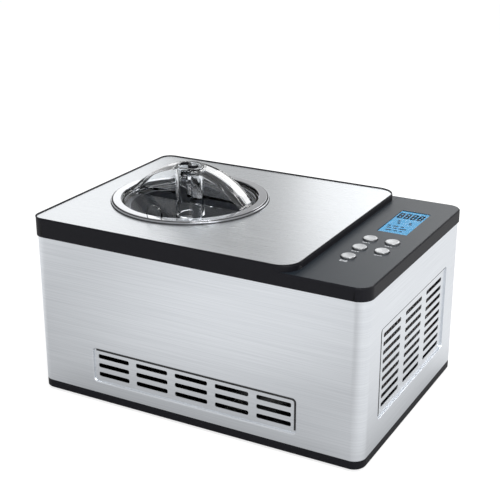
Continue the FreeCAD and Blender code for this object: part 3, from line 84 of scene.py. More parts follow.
def surface(name, dark, light, rough, bump, scale, **sockets):
    """Make a Principled material driven by one noise, stretched by a scale along each axis."""
    mats[name] = bpy.data.materials.new(name)
    mats[name].use_nodes = True
    tree = mats[name].node_tree
    shader = tree.nodes["Principled BSDF"]
    place = tree.nodes.new("ShaderNodeTexCoord")
    stretch = tree.nodes.new("ShaderNodeMapping")
    stretch.inputs["Scale"].default_value = scale
    noise = tree.nodes.new("ShaderNodeTexNoise")
    noise.inputs["Scale"].default_value = 1.0
    noise.inputs["Detail"].default_value = GRAIN_DETAIL
    ramp = tree.nodes.new("ShaderNodeValToRGB")
    for stop, position, colour in zip(ramp.color_ramp.elements, RAMP_ENDS, (dark, light)):
        stop.position = position
        stop.color = (*colour, 1.0)
    gloss = tree.nodes.new("ShaderNodeMapRange")
    gloss.inputs["To Min"].default_value, gloss.inputs["To Max"].default_value = rough
    relief = tree.nodes.new("ShaderNodeBump")
    relief.inputs["Strength"].default_value = bump
    relief.inputs["Distance"].default_value = GRAIN_HEIGHT
    link = tree.links.new
    link(place.outputs["Object"], stretch.inputs["Vector"])
    link(stretch.outputs["Vector"], noise.inputs["Vector"])
    link(noise.outputs["Fac"], ramp.inputs["Fac"])
    link(noise.outputs["Fac"], gloss.inputs["Value"])
    link(noise.outputs["Fac"], relief.inputs["Height"])
    link(ramp.outputs["Color"], shader.inputs["Base Color"])
    link(gloss.outputs["Result"], shader.inputs["Roughness"])
    link(relief.outputs["Normal"], shader.inputs["Normal"])
    for socket, value in sockets.items():
        shader.inputs[socket.replace("_", " ")].default_value = value


# %% [markdown]
# ## Metals
# Brushed steel has fine scratches along one direction. They could be drawn one by one, but a stretched noise does
# it: it is slow along the brushing and fast across it. The case is brushed level all round, the top plate from left
# to right.

# %% Steel, chrome and other metals
FINE = (900, 900, 900)
LEVEL_BRUSHING = (10, 10, 1400)
CROSS_BRUSHING = (10, 1400, 10)
surface("brushed_steel", (0.73, 0.76, 0.80), (0.84, 0.87, 0.91), (0.30, 0.38), 0.10, LEVEL_BRUSHING, Metallic=1.0)
surface("brushed_top", (0.55, 0.57, 0.59), (0.63, 0.65, 0.67), (0.24, 0.32), 0.08, CROSS_BRUSHING, Metallic=1.0)
surface("chrome_ring", (0.44, 0.45, 0.47), (0.52, 0.53, 0.55), (0.06, 0.11), 0.02, FINE, Metallic=1.0)
surface("silver_button", (0.36, 0.37, 0.38), (0.46, 0.47, 0.48), (0.28, 0.40), 0.05, FINE, Metallic=0.9)
surface("bare_aluminium", (0.60, 0.61, 0.62), (0.72, 0.73, 0.74), (0.30, 0.45), 0.10, (60, 60, 900), Metallic=1.0)
surface("steel", (0.42, 0.43, 0.45), (0.56, 0.57, 0.59), (0.25, 0.40), 0.10, FINE, Metallic=1.0)
surface("copper_tube", (0.60, 0.27, 0.14), (0.78, 0.38, 0.22), (0.22, 0.40), 0.10, (200, 200, 200), Metallic=1.0)
surface("bronze_bush", (0.42, 0.27, 0.11), (0.55, 0.36, 0.17), (0.30, 0.45), 0.10, FINE, Metallic=1.0)
surface("grey_motor", (0.30, 0.31, 0.32), (0.40, 0.41, 0.42), (0.35, 0.50), 0.10, FINE, Metallic=0.8)
print("metals:", ", ".join(mats))

# %% [markdown]
# ## Clear plastics
# Clear plastic passes the light on, and its colour stays almost white. How strongly it bends and mirrors light is
# its IOR. One value could serve for all, but then the thin sheets would hide what lies under them, so the thinner a
# sheet is, the lower its IOR.

# %% Lid, window and cap
SMOOTH = (90, 90, 90)
for name, dark, light, ior in (
    ("clear_plastic", (0.94, 0.95, 0.96), (0.98, 0.99, 1.0), 1.40),
    ("window_plastic", (0.97, 0.98, 0.99), (0.99, 0.99, 1.0), 1.02),
    ("cap_plastic", (0.95, 0.96, 0.97), (0.98, 0.99, 1.0), 1.18),
    ("disc_plastic", (0.96, 0.97, 0.99), (0.98, 0.99, 1.0), 1.045),
):
    surface(name, dark, light, (0.01, 0.03), 0.01, SMOOTH, Transmission_Weight=1.0, IOR=ior)
print("materials:", len(mats))

# %% [markdown]
# ## Other plastics, rubber and print
# Moulded plastic has a fine grain, so its noise is small and its bump weak. Dull black parts mirror little, and a
# low specular level does that. The display's glass gives off its own blue light.

# %% Plastics, rubber and the rest
surface("black_plastic", (0.004, 0.004, 0.006), (0.008, 0.008, 0.011), (0.42, 0.55), 0.30, (1600, 1600, 1600),
        Specular_IOR_Level=0.15)
surface("overlay_plastic", (0.011, 0.016, 0.022), (0.018, 0.024, 0.031), (0.36, 0.44), 0.12, (1200, 1200, 1200),
        Specular_IOR_Level=0.24)
surface("display_blue", (0.006, 0.03, 0.055), (0.015, 0.05, 0.085), (0.30, 0.40), 0.01, (30, 16, 10),
        Emission_Strength=0.60, Emission_Color=(0.04, 0.42, 0.80, 1.0), Specular_IOR_Level=0.1)
surface("backlight_white", (0.80, 0.82, 0.84), (0.88, 0.90, 0.92), (0.40, 0.50), 0.05, FINE)
surface("circuit_board", (0.02, 0.13, 0.06), (0.04, 0.20, 0.09), (0.30, 0.45), 0.10, (300, 300, 300))
surface("black_component", (0.015, 0.015, 0.017), (0.030, 0.030, 0.033), (0.35, 0.50), 0.15, FINE)
surface("black_rubber", (0.010, 0.010, 0.011), (0.020, 0.020, 0.021), (0.65, 0.80), 0.30, FINE)
surface("grey_rubber", (0.10, 0.10, 0.10), (0.15, 0.15, 0.15), (0.60, 0.75), 0.30, FINE)
surface("dark_bowl", (0.030, 0.034, 0.042), (0.046, 0.051, 0.060), (0.34, 0.46), 0.10, (30, 30, 700),
        Specular_IOR_Level=0.35)
surface("dark_paddle", (0.034, 0.037, 0.043), (0.050, 0.054, 0.061), (0.34, 0.48), 0.15, FINE)
surface("insulation_foam", (0.72, 0.66, 0.46), (0.84, 0.78, 0.58), (0.80, 0.95), 0.60, (260, 260, 260))
surface("white_nylon", (0.78, 0.77, 0.72), (0.86, 0.85, 0.80), (0.35, 0.50), 0.10, FINE)
surface("black_compressor", (0.012, 0.012, 0.013), (0.026, 0.026, 0.028), (0.25, 0.40), 0.20, (400, 400, 400))
surface("panel_print", (0.55, 0.56, 0.58), (0.66, 0.67, 0.69), (0.45, 0.55), 0.02, FINE)
surface("display_ink", (0.003, 0.008, 0.018), (0.006, 0.012, 0.026), (0.35, 0.45), 0.02, FINE,
        Specular_IOR_Level=0.02)
print("materials:", len(mats))

# %% [markdown]
# ## Finish of a piece
# Every piece ends in the same way: its faces point outwards, its shading is smooth up to its sharp edges, and it
# gets a material.

# %% Finish a piece
SHARP_ANGLE = math.radians(40)


def finished(bm, name, body, slot, *replaced, material=None):
    """Turn a bmesh into a smooth shaded piece that rides on a body and stands for CAD nodes."""
    bmesh.ops.recalc_face_normals(bm, faces=bm.faces)
    mesh = bpy.data.meshes.new(name)
    bm.to_mesh(mesh)
    bm.free()
    mesh.shade_smooth()
    mesh.set_sharp_from_angle(angle=SHARP_ANGLE)
    mesh.materials.append(mats[material or slot])
    piece = bpy.data.objects.new(name, mesh)
    scene.collection.objects.link(piece)
    normals = piece.modifiers.new("even_normals", "WEIGHTED_NORMAL")
    normals.keep_sharp = True
    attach(piece, body)
    if replaced:
        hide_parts(*replaced)
    print(name, len(mesh.polygons), "faces")
    return piece


# %% [markdown]
# ## Tools for copies
# A CAD node arrives as loose triangles. It could be shown as it is, but its edges would be knife-sharp. `merged`
# takes a copy and joins its flat triangles, and `bevel` rounds the sharp edges.

# %% Copy and round
WELD = 0.004 * MM
FLAT_ANGLE = math.radians(0.4)


def weld(bm):
    """Join points that lie in one place."""
    bmesh.ops.remove_doubles(bm, verts=bm.verts, dist=WELD)


def merged(node):
    """A welded copy of a CAD node's triangles, with flat areas joined."""
    bm = bmesh.new()
    bm.from_mesh(nodes[node].data)
    weld(bm)
    bmesh.ops.dissolve_limit(bm, angle_limit=FLAT_ANGLE, verts=bm.verts, edges=bm.edges)
    return bm


def bevel(bm, width, pick=None, segments=3, least=30):
    """Round the edges that a test picks and that turn by at least an angle, by a width in millimetres."""
    sharp = [
        edge for edge in bm.edges
        if len(edge.link_faces) == 2 and edge.calc_face_angle() > math.radians(least) and (pick is None or pick(edge))
    ]
    bmesh.ops.bevel(bm, geom=sharp, offset=width * MM, offset_type="OFFSET", affect="EDGES", segments=segments,
                    profile=0.5, material=-1, clamp_overlap=True)
    weld(bm)


# %% [markdown]
# ## Tools for new shapes
# `turned` spins an outline round an upright axis. That suits rings, buttons and bowls better than a copy, because
# the circles come out even. `slab` and `plate` extrude a flat outline.

# %% Turn and extrude


def turned(outline, x, y, steps):
    """Spin a closed outline of radius and height pairs, in millimetres, about an upright axis."""
    bm = bmesh.new()
    verts = [bm.verts.new((x * MM + r * MM, y * MM, z * MM)) for r, z in outline]
    edges = [bm.edges.new(pair) for pair in zip(verts, verts[1:] + verts[:1])]
    bmesh.ops.spin(bm, geom=verts + edges, cent=(x * MM, y * MM, 0), axis=(0, 0, 1), angle=math.tau,
                   steps=steps, use_merge=True)
    weld(bm)
    return bm


def extruded(bm, faces, depth):
    """Extrude faces by a vector in millimetres."""
    raised = bmesh.ops.extrude_face_region(bm, geom=faces)["geom"]
    moved = [item for item in raised if isinstance(item, bmesh.types.BMVert)]
    bmesh.ops.translate(bm, vec=Vector(depth) * MM, verts=moved)


def slab(bm, corners, depth):
    """Add a slab over an outline of points, as deep as a vector says, in millimetres."""
    face = bm.faces.new([bm.verts.new(Vector(corner) * MM) for corner in corners])
    extruded(bm, [face], depth)


def plate(bm, corners, low, top):
    """Add an upright slab over a level outline, in millimetres."""
    slab(bm, [(x, y, low) for x, y in corners], (0, 0, top - low))


# %% [markdown]
# ## Pressed grilles
# The wrap's two grilles are pans pressed into the sheet. Pressing leaves a round at the pan's rim, which draws a
# bright line, and it draws the slots a little open. The wrap could be modelled anew, but a copy already has every
# slot: a bevel on the rims and a small move of the slots' edges are enough.

# %% Steel wrap
FRONT_FACE, SIDE_FACE, SHEET, PAN_DEPTH, SLOT_DRAW = -139.0, 200.0, 0.8, 2.0, 0.6
FRONT_ROUND, SIDE_ROUND, WRAP_ROUND = 1.6, 0.6, 0.25
WRAP_LOW, WRAP_HIGH = 14 * MM, 188 * MM
FRONT_ROWS = [36 + 11 * row for row in range(3)]
SIDE_ROWS = [53.9 + 9.9 * row for row in range(9)]
SLOT_EDGE_LEAST, SLOT_EDGE_MOST = 0.2, 2.1
LONG = 12 * MM
CLOSE, NEAR = 0.05 * MM, 0.1 * MM


def long_edge(edge):
    """An edge that is long enough to be worth rounding."""
    return edge.calc_length() > LONG


def pan_rim(edge, axis, face):
    """An edge of a grille's rim, on the wrap's face at a place along an axis."""
    return all(WRAP_LOW < vert.co.z < WRAP_HIGH and abs(vert.co[axis] - face * MM) < CLOSE for vert in edge.verts)


bm = merged("housing_wrap")
for vert in bm.verts:
    behind_front = vert.co.y - (FRONT_FACE + PAN_DEPTH) * MM
    behind_side = (SIDE_FACE - PAN_DEPTH) * MM - vert.co.x
    in_front, in_side = (-NEAR < behind < SHEET * MM + NEAR for behind in (behind_front, behind_side))
    for row in (FRONT_ROWS if in_front else SIDE_ROWS if in_side else ()):
        above = vert.co.z / MM - row
        if SLOT_EDGE_LEAST < abs(above) < SLOT_EDGE_MOST:
            vert.co.z += math.copysign(SLOT_DRAW * MM, above)
bevel(bm, FRONT_ROUND, lambda edge: pan_rim(edge, 1, FRONT_FACE), segments=4)
bevel(bm, SIDE_ROUND, lambda edge: pan_rim(edge, 0, SIDE_FACE), segments=4)
bevel(bm, WRAP_ROUND, lambda edge: long_edge(edge) and not WRAP_LOW < edge.verts[0].co.z < WRAP_HIGH)
finished(bm, "housing_wrap_shell", "housing", "brushed_steel", "housing_wrap")

# %% [markdown]
# ## Painted shadow strips in the grilles
# A thin black strip lies under the rim at the top of each pan and at its end by the case's front corner. It is
# painted shadow: it draws the dark line of the shadow that the rim casts into the pan there. It could be a bevelled
# curve. One flat outline, bent round a corner of the pan and extruded, is simpler and has few faces.

# %% Painted shadow strips
SHADOW_STRIP_SUNK = 0.4
FRONT_SHADOW_STRIP = [
    (-122, 67), (122, 67), (124.8, 65.8), (126, 63), (126, 31),
    (124.3, 31), (124.3, 62.6), (123.6, 64.6), (121.5, 65.3), (-122, 65.3),
]
SIDE_SHADOW_STRIP = [
    (-98, 46.5), (-98, 140.5), (-96.8, 143.3), (-94, 144.5), (94, 144.5),
    (94, 143.6), (-93, 143.6), (-94.4, 142.6), (-95, 140.2), (-95, 46.5),
]
bm = bmesh.new()
slab(bm, [(x, FRONT_FACE + SHADOW_STRIP_SUNK, z) for x, z in FRONT_SHADOW_STRIP], (0, PAN_DEPTH - SHADOW_STRIP_SUNK, 0))
slab(bm, [(SIDE_FACE - SHADOW_STRIP_SUNK, y, z) for y, z in SIDE_SHADOW_STRIP], (SHADOW_STRIP_SUNK - PAN_DEPTH, 0, 0))
# Painted shadow: black strips along the shadow lines under the pans' rims.
finished(bm, "painted_shadow_strips", "housing", "black_rubber")

# %% [markdown]
# ## The case
# The black base, the steel rear panel and the black top frame could be built again from boxes. Copies of the CAD
# solids keep every slot and step, and only their long edges are rounded, so that each catches a thin line of light.

# %% Case pieces
shells = {}
for node, slot, width in (
    ("base_tray", "black_plastic", 0.5),
    ("rear_panel", "brushed_steel", 0.2),
    ("top_bezel", "black_plastic", 0.3),
):
    bm = merged(node)
    bevel(bm, width, long_edge)
    shells[node] = finished(bm, node + "_shell", "housing", slot, node)

# %% [markdown]
# ## Low deck
# The frame's low deck has the same satin finish as the control overlay. A second piece could lie on it, but a
# second material on the frame's own level faces adds no edge.

# %% Low deck finish
DECK_LOW, DECK_HIGH = 203.0 * MM, 203.6 * MM
top_frame = shells["top_bezel"].data
top_frame.materials.append(mats["overlay_plastic"])
deck_faces = [
    face for face in top_frame.polygons
    if face.normal.z > 0.9 and DECK_LOW < face.center.z < DECK_HIGH
]
for face in deck_faces:
    face.material_index = 1
print("deck faces:", len(deck_faces))

# %% [markdown]
# ## Top plate and control overlay
# Both are thin sheets let into the top frame, flush with it. Their edges hardly show, so a merged copy is enough,
# and the finish does the rest: the plate is brushed from left to right, the overlay is satin.

# %% Top sheets
for node, slot, finish in (
    ("top_plate", "brushed_steel", "brushed_top"),
    ("control_overlay", "overlay_plastic", "overlay_plastic"),
):
    bm = merged(node)
    finished(bm, node + "_sheet", "housing", slot, node, material=finish)

# %% [markdown]
# ## Bead round the top plate
# A thin black bead holds the plate's edge and draws the dark line round it. It could be a curve with a bevel. Here
# it starts as one rectangle: a vertex bevel rounds the corners, an inset leaves a narrow frame, and an extrude
# gives it height.

# %% Plate bead
BEAD_LEFT, BEAD_RIGHT, BEAD_HALF_DEPTH = -201.2, 120.7, 140.2
BEAD_LOW, BEAD_HEIGHT, BEAD_WIDTH, BEAD_ROUND = 209.9, 1.15, 1.4, 0.4
LEFT_CORNERS, RIGHT_CORNERS = 13.7, 21.7
bm = bmesh.new()
corners = [bm.verts.new((x * MM, y * MM, BEAD_LOW * MM)) for x, y in (
    (BEAD_LEFT, -BEAD_HALF_DEPTH), (BEAD_RIGHT, -BEAD_HALF_DEPTH),
    (BEAD_RIGHT, BEAD_HALF_DEPTH), (BEAD_LEFT, BEAD_HALF_DEPTH))]
bm.faces.new(corners)
for pair, radius in ((corners[0::3], LEFT_CORNERS), (corners[1:3], RIGHT_CORNERS)):
    bmesh.ops.bevel(bm, geom=pair, offset=radius * MM, offset_type="OFFSET", affect="VERTICES", segments=10,
                    profile=0.5, material=-1)
rim = bmesh.ops.inset_region(bm, faces=bm.faces[:], thickness=BEAD_WIDTH * MM, use_boundary=True,
                             use_even_offset=True)["faces"]
bmesh.ops.delete(bm, geom=[face for face in bm.faces if face not in rim], context="FACES")
extruded(bm, rim, (0, 0, BEAD_HEIGHT))
bevel(bm, BEAD_ROUND, lambda edge: min(vert.co.z for vert in edge.verts) > (BEAD_LOW + BEAD_HEIGHT / 2) * MM)
finished(bm, "plate_bead", "housing", "black_plastic")

# %% [markdown]
# ## Chrome ring round the opening
# The ring is turned metal: a lip, a dark groove and a wide crowned band. A copy of the CAD ring would show its
# facets in the mirror finish, so it is spun anew with many steps, and its edges are bevelled.

# %% Chrome ring
RING_STEPS = 180
bm = turned([
    (75.5, 204.5), (82.4, 204.5), (82.4, 210.0), (91.0, 210.0), (91.0, 212.5), (90.0, 212.5), (90.0, 211.5),
    (88.8, 211.5), (88.8, 213.5), (79.6, 213.5), (79.6, 207.5), (75.5, 207.5),
], BOWL_X, 0, RING_STEPS)
bevel(bm, 0.45)
finished(bm, "opening_ring_turned", "housing", "chrome_ring", "opening_ring")

# %% [markdown]
# ## Painted shade round the ring
# Two thin black rubber rings are painted shade: they draw the dark lines of shade in the ring's groove and at its
# foot. One fills the groove, the other lies where the ring meets the plate. A dark band in the ring's material
# would do from afar, but a piece has a real edge.

# %% Painted shade rings
for name, outline in (
    ("groove_shade_ring", [(88.9, 211.6), (89.9, 211.6), (89.9, 212.7), (88.9, 212.7)]),
    ("ring_foot_shade_ring", [(90.4, 210.05), (91.7, 210.05), (91.5, 210.7), (90.4, 210.7)]),
):
    # Painted shade: black rings in the groove and at the ring's foot.
    bm = turned(outline, BOWL_X, 0, RING_STEPS)
    bevel(bm, 0.15)
    finished(bm, name, "housing", "black_rubber")

# %% [markdown]
# ## Lid
# The lid is one clear moulding: disc, hollow ridge, chute and thumb tab. It starts as a copy of the CAD solid. The
# front half of the ridge's top slopes a little forward, so that only its rear half mirrors the lamp: the top faces
# are cut along the middle and their front edge is lowered, inside and outside alike.

# %% Slope of the lid's ridge
RIDGE_HALF, RIDGE_WALL, RIDGE_INSET, ARCH_FOOT = 15.5, 2.2, 2.0, 208.5
RIDGE_DROP, SLOPE_FROM, SLOPE_OVER = 1.6, 211.0, 12.0
bm = merged("lid")
lid_low, lid_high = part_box("lid")
half_span = (lid_high[0] - lid_low[0]) / 2 - RIDGE_INSET * MM
rise = lid_high[2] - ARCH_FOOT * MM
arch = (half_span ** 2 + rise ** 2) / (2 * rise)
arch_middle = Vector((BOWL_X * MM, 0, lid_high[2] - arch))


def from_arch(vert):
    """The way from the arch's axis straight out to a vertex."""
    return Vector((vert.co.x, 0, vert.co.z)) - arch_middle


def on_arch(vert, radius):
    """Whether a vertex lies on an arch of a radius."""
    return abs(from_arch(vert).length - radius) < NEAR


for inward in (0, RIDGE_WALL):
    radius, front_y = arch - inward * MM, (inward - RIDGE_HALF) * MM
    crest = [
        face for face in bm.faces
        if abs(face.normal.y) < 0.01 and all(on_arch(vert, radius) for vert in face.verts)
    ]
    around = {item for face in crest for item in (*face.verts, *face.edges)}
    bmesh.ops.bisect_plane(bm, geom=[*crest, *around], dist=0.001 * MM, plane_co=(0, 0, 0), plane_no=(0, 1, 0))
    front = [vert for vert in bm.verts if on_arch(vert, radius) and abs(vert.co.y - front_y) < CLOSE]
    for vert in front:
        share = min(1, max(0, (vert.co.z / MM - SLOPE_FROM) / SLOPE_OVER))
        bmesh.ops.translate(bm, vec=from_arch(vert).normalized() * -RIDGE_DROP * MM * share, verts=[vert])
    print("ridge faces split:", len(crest), "front points lowered:", len(front))

# %% [markdown]
# ## Finish of the lid
# The ridge's long edges are rounded, because the light that gathers there draws the shape of clear plastic. The
# disc and the chute's wall are thin and must show what lies under them, so their faces take the plastics that bend
# light less.

# %% Lid
RIDGE_ROUND, CHUTE_REACH = 0.5, 17 * MM
DISC_LOW, DISC_HIGH = 208 * MM, 212 * MM


def ridge_edge(edge):
    """A long edge of the ridge above the disc."""
    return all(abs(abs(vert.co.y) - RIDGE_HALF * MM) < CLOSE and vert.co.z > SLOPE_FROM * MM - NEAR
               for vert in edge.verts)


bevel(bm, RIDGE_ROUND, ridge_edge, least=50)
lid = finished(bm, "lid_moulding", "lid", "clear_plastic", "lid").data
lid.materials.append(mats["disc_plastic"])
lid.materials.append(mats["cap_plastic"])
for face in lid.polygons:
    from_axis = Vector((face.center.x - BOWL_X * MM, face.center.y, 0))
    if abs(face.normal.z) > 0.99 and DISC_LOW < face.center.z < DISC_HIGH:
        face.material_index = 1
    elif from_axis.length < CHUTE_REACH and abs(face.normal.dot(from_axis.normalized())) > 0.9:
        face.material_index = 2
print("thin faces:", sum(face.material_index > 0 for face in lid.polygons))

# %% [markdown]
# ## Lid seal and filler cap
# The seal under the lid is a turned ring of grey rubber. The cap is a clear cup in the chute, and a copy of the CAD
# solid is enough, because the chute hides its edges.

# %% Seal and cap
bm = turned([(75.7, 207.5), (78.8, 207.5), (78.8, 208.5), (75.7, 208.5)], BOWL_X, 0, 144)
bevel(bm, 0.3)
finished(bm, "lid_seal_ring", "lid", "grey_rubber", "lid_seal")
bm = merged("filler_cap")
finished(bm, "filler_cap_moulding", "filler_cap", "clear_plastic", "filler_cap", material="cap_plastic")

# %% [markdown]
# ## Grip on the cap
# The dark grip is bent like an S. It could be swept along a curve, but one section that is spun half a turn to one
# side, and half a turn to the other, gives two even arcs, as a bent strip has.

# %% Cap grip
GRIP_ARC = 5.1
bm = bmesh.new()
section = bm.faces.new([bm.verts.new(((BOWL_X + x) * MM, 0, z * MM)) for x, z in (
    (-1.5, 248.5), (1.5, 248.5), (1.5, 251.1), (1.1, 251.5), (-1.1, 251.5), (-1.5, 251.1))])
for side in (-1, 1):
    bmesh.ops.spin(bm, geom=[section, *section.edges, *section.verts],
                   cent=((BOWL_X + side * GRIP_ARC) * MM, 0, 0), axis=(0, 0, 1), angle=math.pi, steps=24)
weld(bm)
finished(bm, "cap_grip_moulding", "filler_cap", "black_plastic", "cap_grip")

# %% [markdown]
# ## Bowl and paddle
# The bowl lifts out with the ice cream in it. It is spun from its section, with a flat rim to lift it by. The paddle
# is too bent for a spin, so it keeps the CAD shape, with its blade edges rounded as on a moulding.

# %% Bowl and paddle
bm = turned([
    (8.0, 94.0), (70.0, 94.0), (70.0, 201.5), (75.0, 201.5), (75.0, 203.0), (68.5, 203.0), (68.5, 95.5),
    (9.5, 95.5), (9.5, 150.5), (8.0, 150.5),
], BOWL_X, 0, 144)
bevel(bm, 0.6)
finished(bm, "mixing_bowl_spun", "bowl", "dark_bowl", "mixing_bowl")
bm = merged("paddle")
bevel(bm, 0.6, long_edge)
finished(bm, "paddle_moulding", "paddle", "dark_paddle", "paddle")

# %% [markdown]
# ## Push buttons
# Each silver button has a flange under the deck, a straight side and a slightly dished top with a round edge. A
# bevelled cylinder would be flat on top, so the button is spun from its section.

# %% Buttons
BUTTONS = {
    "mode_button": (148.75, -10), "timer_button": (173.75, -10), "plus_button": (148.75, -39),
    "minus_button": (173.75, -39), "start_button": (148.75, -68),
}
for name, (x, y) in BUTTONS.items():
    bm = turned([
        (0, 199.5), (9.2, 199.5), (9.2, 200.7), (7.6, 200.7), (7.6, 205.2), (6.0, 205.2), (4.0, 205.0), (0, 204.9),
    ], x, y, 64)
    bevel(bm, 0.6)
    finished(bm, name + "_turned", name, "silver_button", name)

# %% [markdown]
# ## Legends by the buttons
# The real panel has tiny words. A text object could spell them, but nobody could read them at this size. Short bars
# read as print from a distance and say nothing.

# %% Legends
PRINT = (203.4, 203.45)
PRINT_HALF = 0.6
FIRST_ROW, SECOND_ROW = 11.4, 13.6
bm = bmesh.new()
for name, (x, y) in BUTTONS.items():
    for row in (FIRST_ROW, SECOND_ROW) if name == "start_button" else (FIRST_ROW,):
        low, high = y - row - PRINT_HALF, y - row + PRINT_HALF
        for start, end in ((-4.2, -1.4), (-0.9, 1.1), (1.6, 4.2)):
            plate(bm, [(x + start, low), (x + end, low), (x + end, high), (x + start, high)], *PRINT)
finished(bm, "panel_legends", "housing", "silver_button", material="panel_print")

# %% [markdown]
# ## Display
# A thin clear window lies over a blue glass on its black module. One box with a picture on it would look painted,
# so the three layers are three bevelled plates, with a little air under the window.

# %% Display layers
MODULE = [(142.25, 17), (180.25, 17), (180.25, 97), (142.25, 97)]
GLASS = [(144.5, 19.3), (178.0, 19.3), (178.0, 94.7), (144.5, 94.7)]
for name, slot, finish, corners, low, top, width, replaced in (
    ("display_module", "black_component", "black_component", MODULE, 197.9, 200.8, 0.3, ["lcd_panel"]),
    ("display_panel", "display_blue", "display_blue", GLASS, 200.8, 202.7, 0.2, []),
    ("display_window", "clear_plastic", "window_plastic", GLASS, 202.85, 203.4, 0.12, ["display_lens"]),
):
    bm = bmesh.new()
    plate(bm, corners, low, top)
    bevel(bm, width)
    finished(bm, name, "housing", slot, *replaced, material=finish)

# %% [markdown]
# ## Marks on the display
# The digits, icons and text lines are dark plates between window and glass. Each digit is built from seven bars
# with pointed ends, as on a real display, and the small marks are single bars.

# %% Digits, icons and text lines
INK = (202.7, 202.78)
DISPLAY_X, DISPLAY_Y = 161.25, 57.0
FIRST_DIGIT, DIGIT_STEP, DIGIT_WIDTH, DIGIT_LOW, DIGIT_HIGH = -14.0, 7.8, 4.0, 14.5, 29.5
LEVEL_BAR, UPRIGHT_BAR, MARK_BAR, OVERLAP = 2.8, 2.2, 2.6, 1.0
MARKS = [
    (-9.5, 4.5, 4), (-8.5, 0.0, 4), (-7.0, -4.0, 4), (5.0, 1.0, 4), (6.0, -3.0, 4),
    (-14.5, -14.5, 5), (-8, -14.5, 7), (1, -14.5, 4.5), (-13, -21, 6), (-5.5, -21, 5), (1, -21, 9.5),
    (-11.5, -28.5, 8), (-2, -28.5, 5), (4.5, -28.5, 4),
]
bm = bmesh.new()


def bar(start, end, width):
    """A display segment with pointed ends from one point to another."""
    a, b = Vector(start), Vector(end)
    along = (b - a).normalized()
    across = Vector((-along.y, along.x)) * width / 2
    inner_a, inner_b = a + along * width / 2, b - along * width / 2
    plate(bm, [a, inner_a - across, inner_b - across, b, inner_b + across, inner_a + across], *INK)


for column in range(4):
    left = DISPLAY_X + FIRST_DIGIT + DIGIT_STEP * column
    right, low, high = left + DIGIT_WIDTH, DISPLAY_Y + DIGIT_LOW, DISPLAY_Y + DIGIT_HIGH
    middle = (low + high) / 2
    for y in (low, middle, high):
        bar((left - OVERLAP, y), (right + OVERLAP, y), LEVEL_BAR)
    for x in (left, right):
        bar((x, low - OVERLAP), (x, middle + OVERLAP), UPRIGHT_BAR)
        bar((x, middle - OVERLAP), (x, high + OVERLAP), UPRIGHT_BAR)
for x, y, length in MARKS:
    bar((DISPLAY_X + x, DISPLAY_Y + y), (DISPLAY_X + x + length, DISPLAY_Y + y), MARK_BAR)
finished(bm, "display_marks", "housing", "display_blue", material="display_ink")

# %% [markdown]
# ## Feet and cord gland
# The four feet are rubber pads. A cylinder would do, but spinning them keeps the tools few. The cord gland is a
# plastic bush in the rear panel, and its copy only needs softer edges.

# %% Feet and gland
FOOT_X, FOOT_Y = 168, 107
for index, (x, y) in enumerate(((-FOOT_X, -FOOT_Y), (FOOT_X, -FOOT_Y), (-FOOT_X, FOOT_Y), (FOOT_X, FOOT_Y))):
    bm = turned([(0, 0), (11.0, 0), (11.0, 4.0), (0, 4.0)], x, y, 48)
    bevel(bm, 0.7)
    replaced = ["rubber_feet"] if index == 0 else []
    finished(bm, f"rubber_foot_{index + 1}", "housing", "black_rubber", *replaced)
bm = merged("cord_gland")
bevel(bm, 0.3)
finished(bm, "cord_gland_moulding", "housing", "black_plastic", "cord_gland")

# %% [markdown]
# ## Machinery inside
# Nothing of the machinery shows in the photograph. Bevelled copies would only cost faces, so its CAD solids stay as
# they are, and each takes the finish of its material slot. The rear panel's screws are painted here too.

# %% Paint the machinery
INNER = {
    "cooling_well": "bare_aluminium", "well_gasket": "grey_rubber", "evaporator_coil": "copper_tube",
    "insulation_jacket": "insulation_foam", "well_bushing": "bronze_bush", "gearbox_bushing": "bronze_bush",
    "drive_shaft": "steel", "gearbox_plate": "steel", "gearbox_cover": "black_component",
    "gearbox_screws": "steel", "intermediate_pin": "steel", "output_gear": "white_nylon",
    "intermediate_gear": "white_nylon", "motor_pinion": "white_nylon", "motor_shaft": "steel",
    "drive_motor": "grey_motor", "compressor": "black_compressor", "compressor_plate": "steel",
    "compressor_grommets": "black_rubber", "condenser_coil": "copper_tube", "condenser_fins": "bare_aluminium",
    "condenser_brackets": "steel", "fan_shroud": "black_component", "fan_motor": "grey_motor",
    "condenser_fan": "black_component", "filter_drier": "copper_tube", "capillary_tube": "copper_tube",
    "suction_line": "copper_tube", "discharge_line": "copper_tube", "control_board": "circuit_board",
    "push_switches": "black_component", "lcd_backlight": "backlight_white", "power_board": "circuit_board",
    "power_parts": "black_component", "rear_screws": "steel",
}
for node, slot in INNER.items():
    mesh = nodes[node].data
    mesh.materials.clear()
    mesh.materials.append(mats[slot])
print("machinery painted:", len(INNER))

# %% [markdown]
# ## Studio floor
# The floor is a large sheet of white paper. For the camera, and through clear plastic, it glows a little, so that
# it stays white while the object still leaves a soft shadow on it. Stronger lamps would also turn it white, but they
# would bleach the object. To light that bounces it is plain white paper.

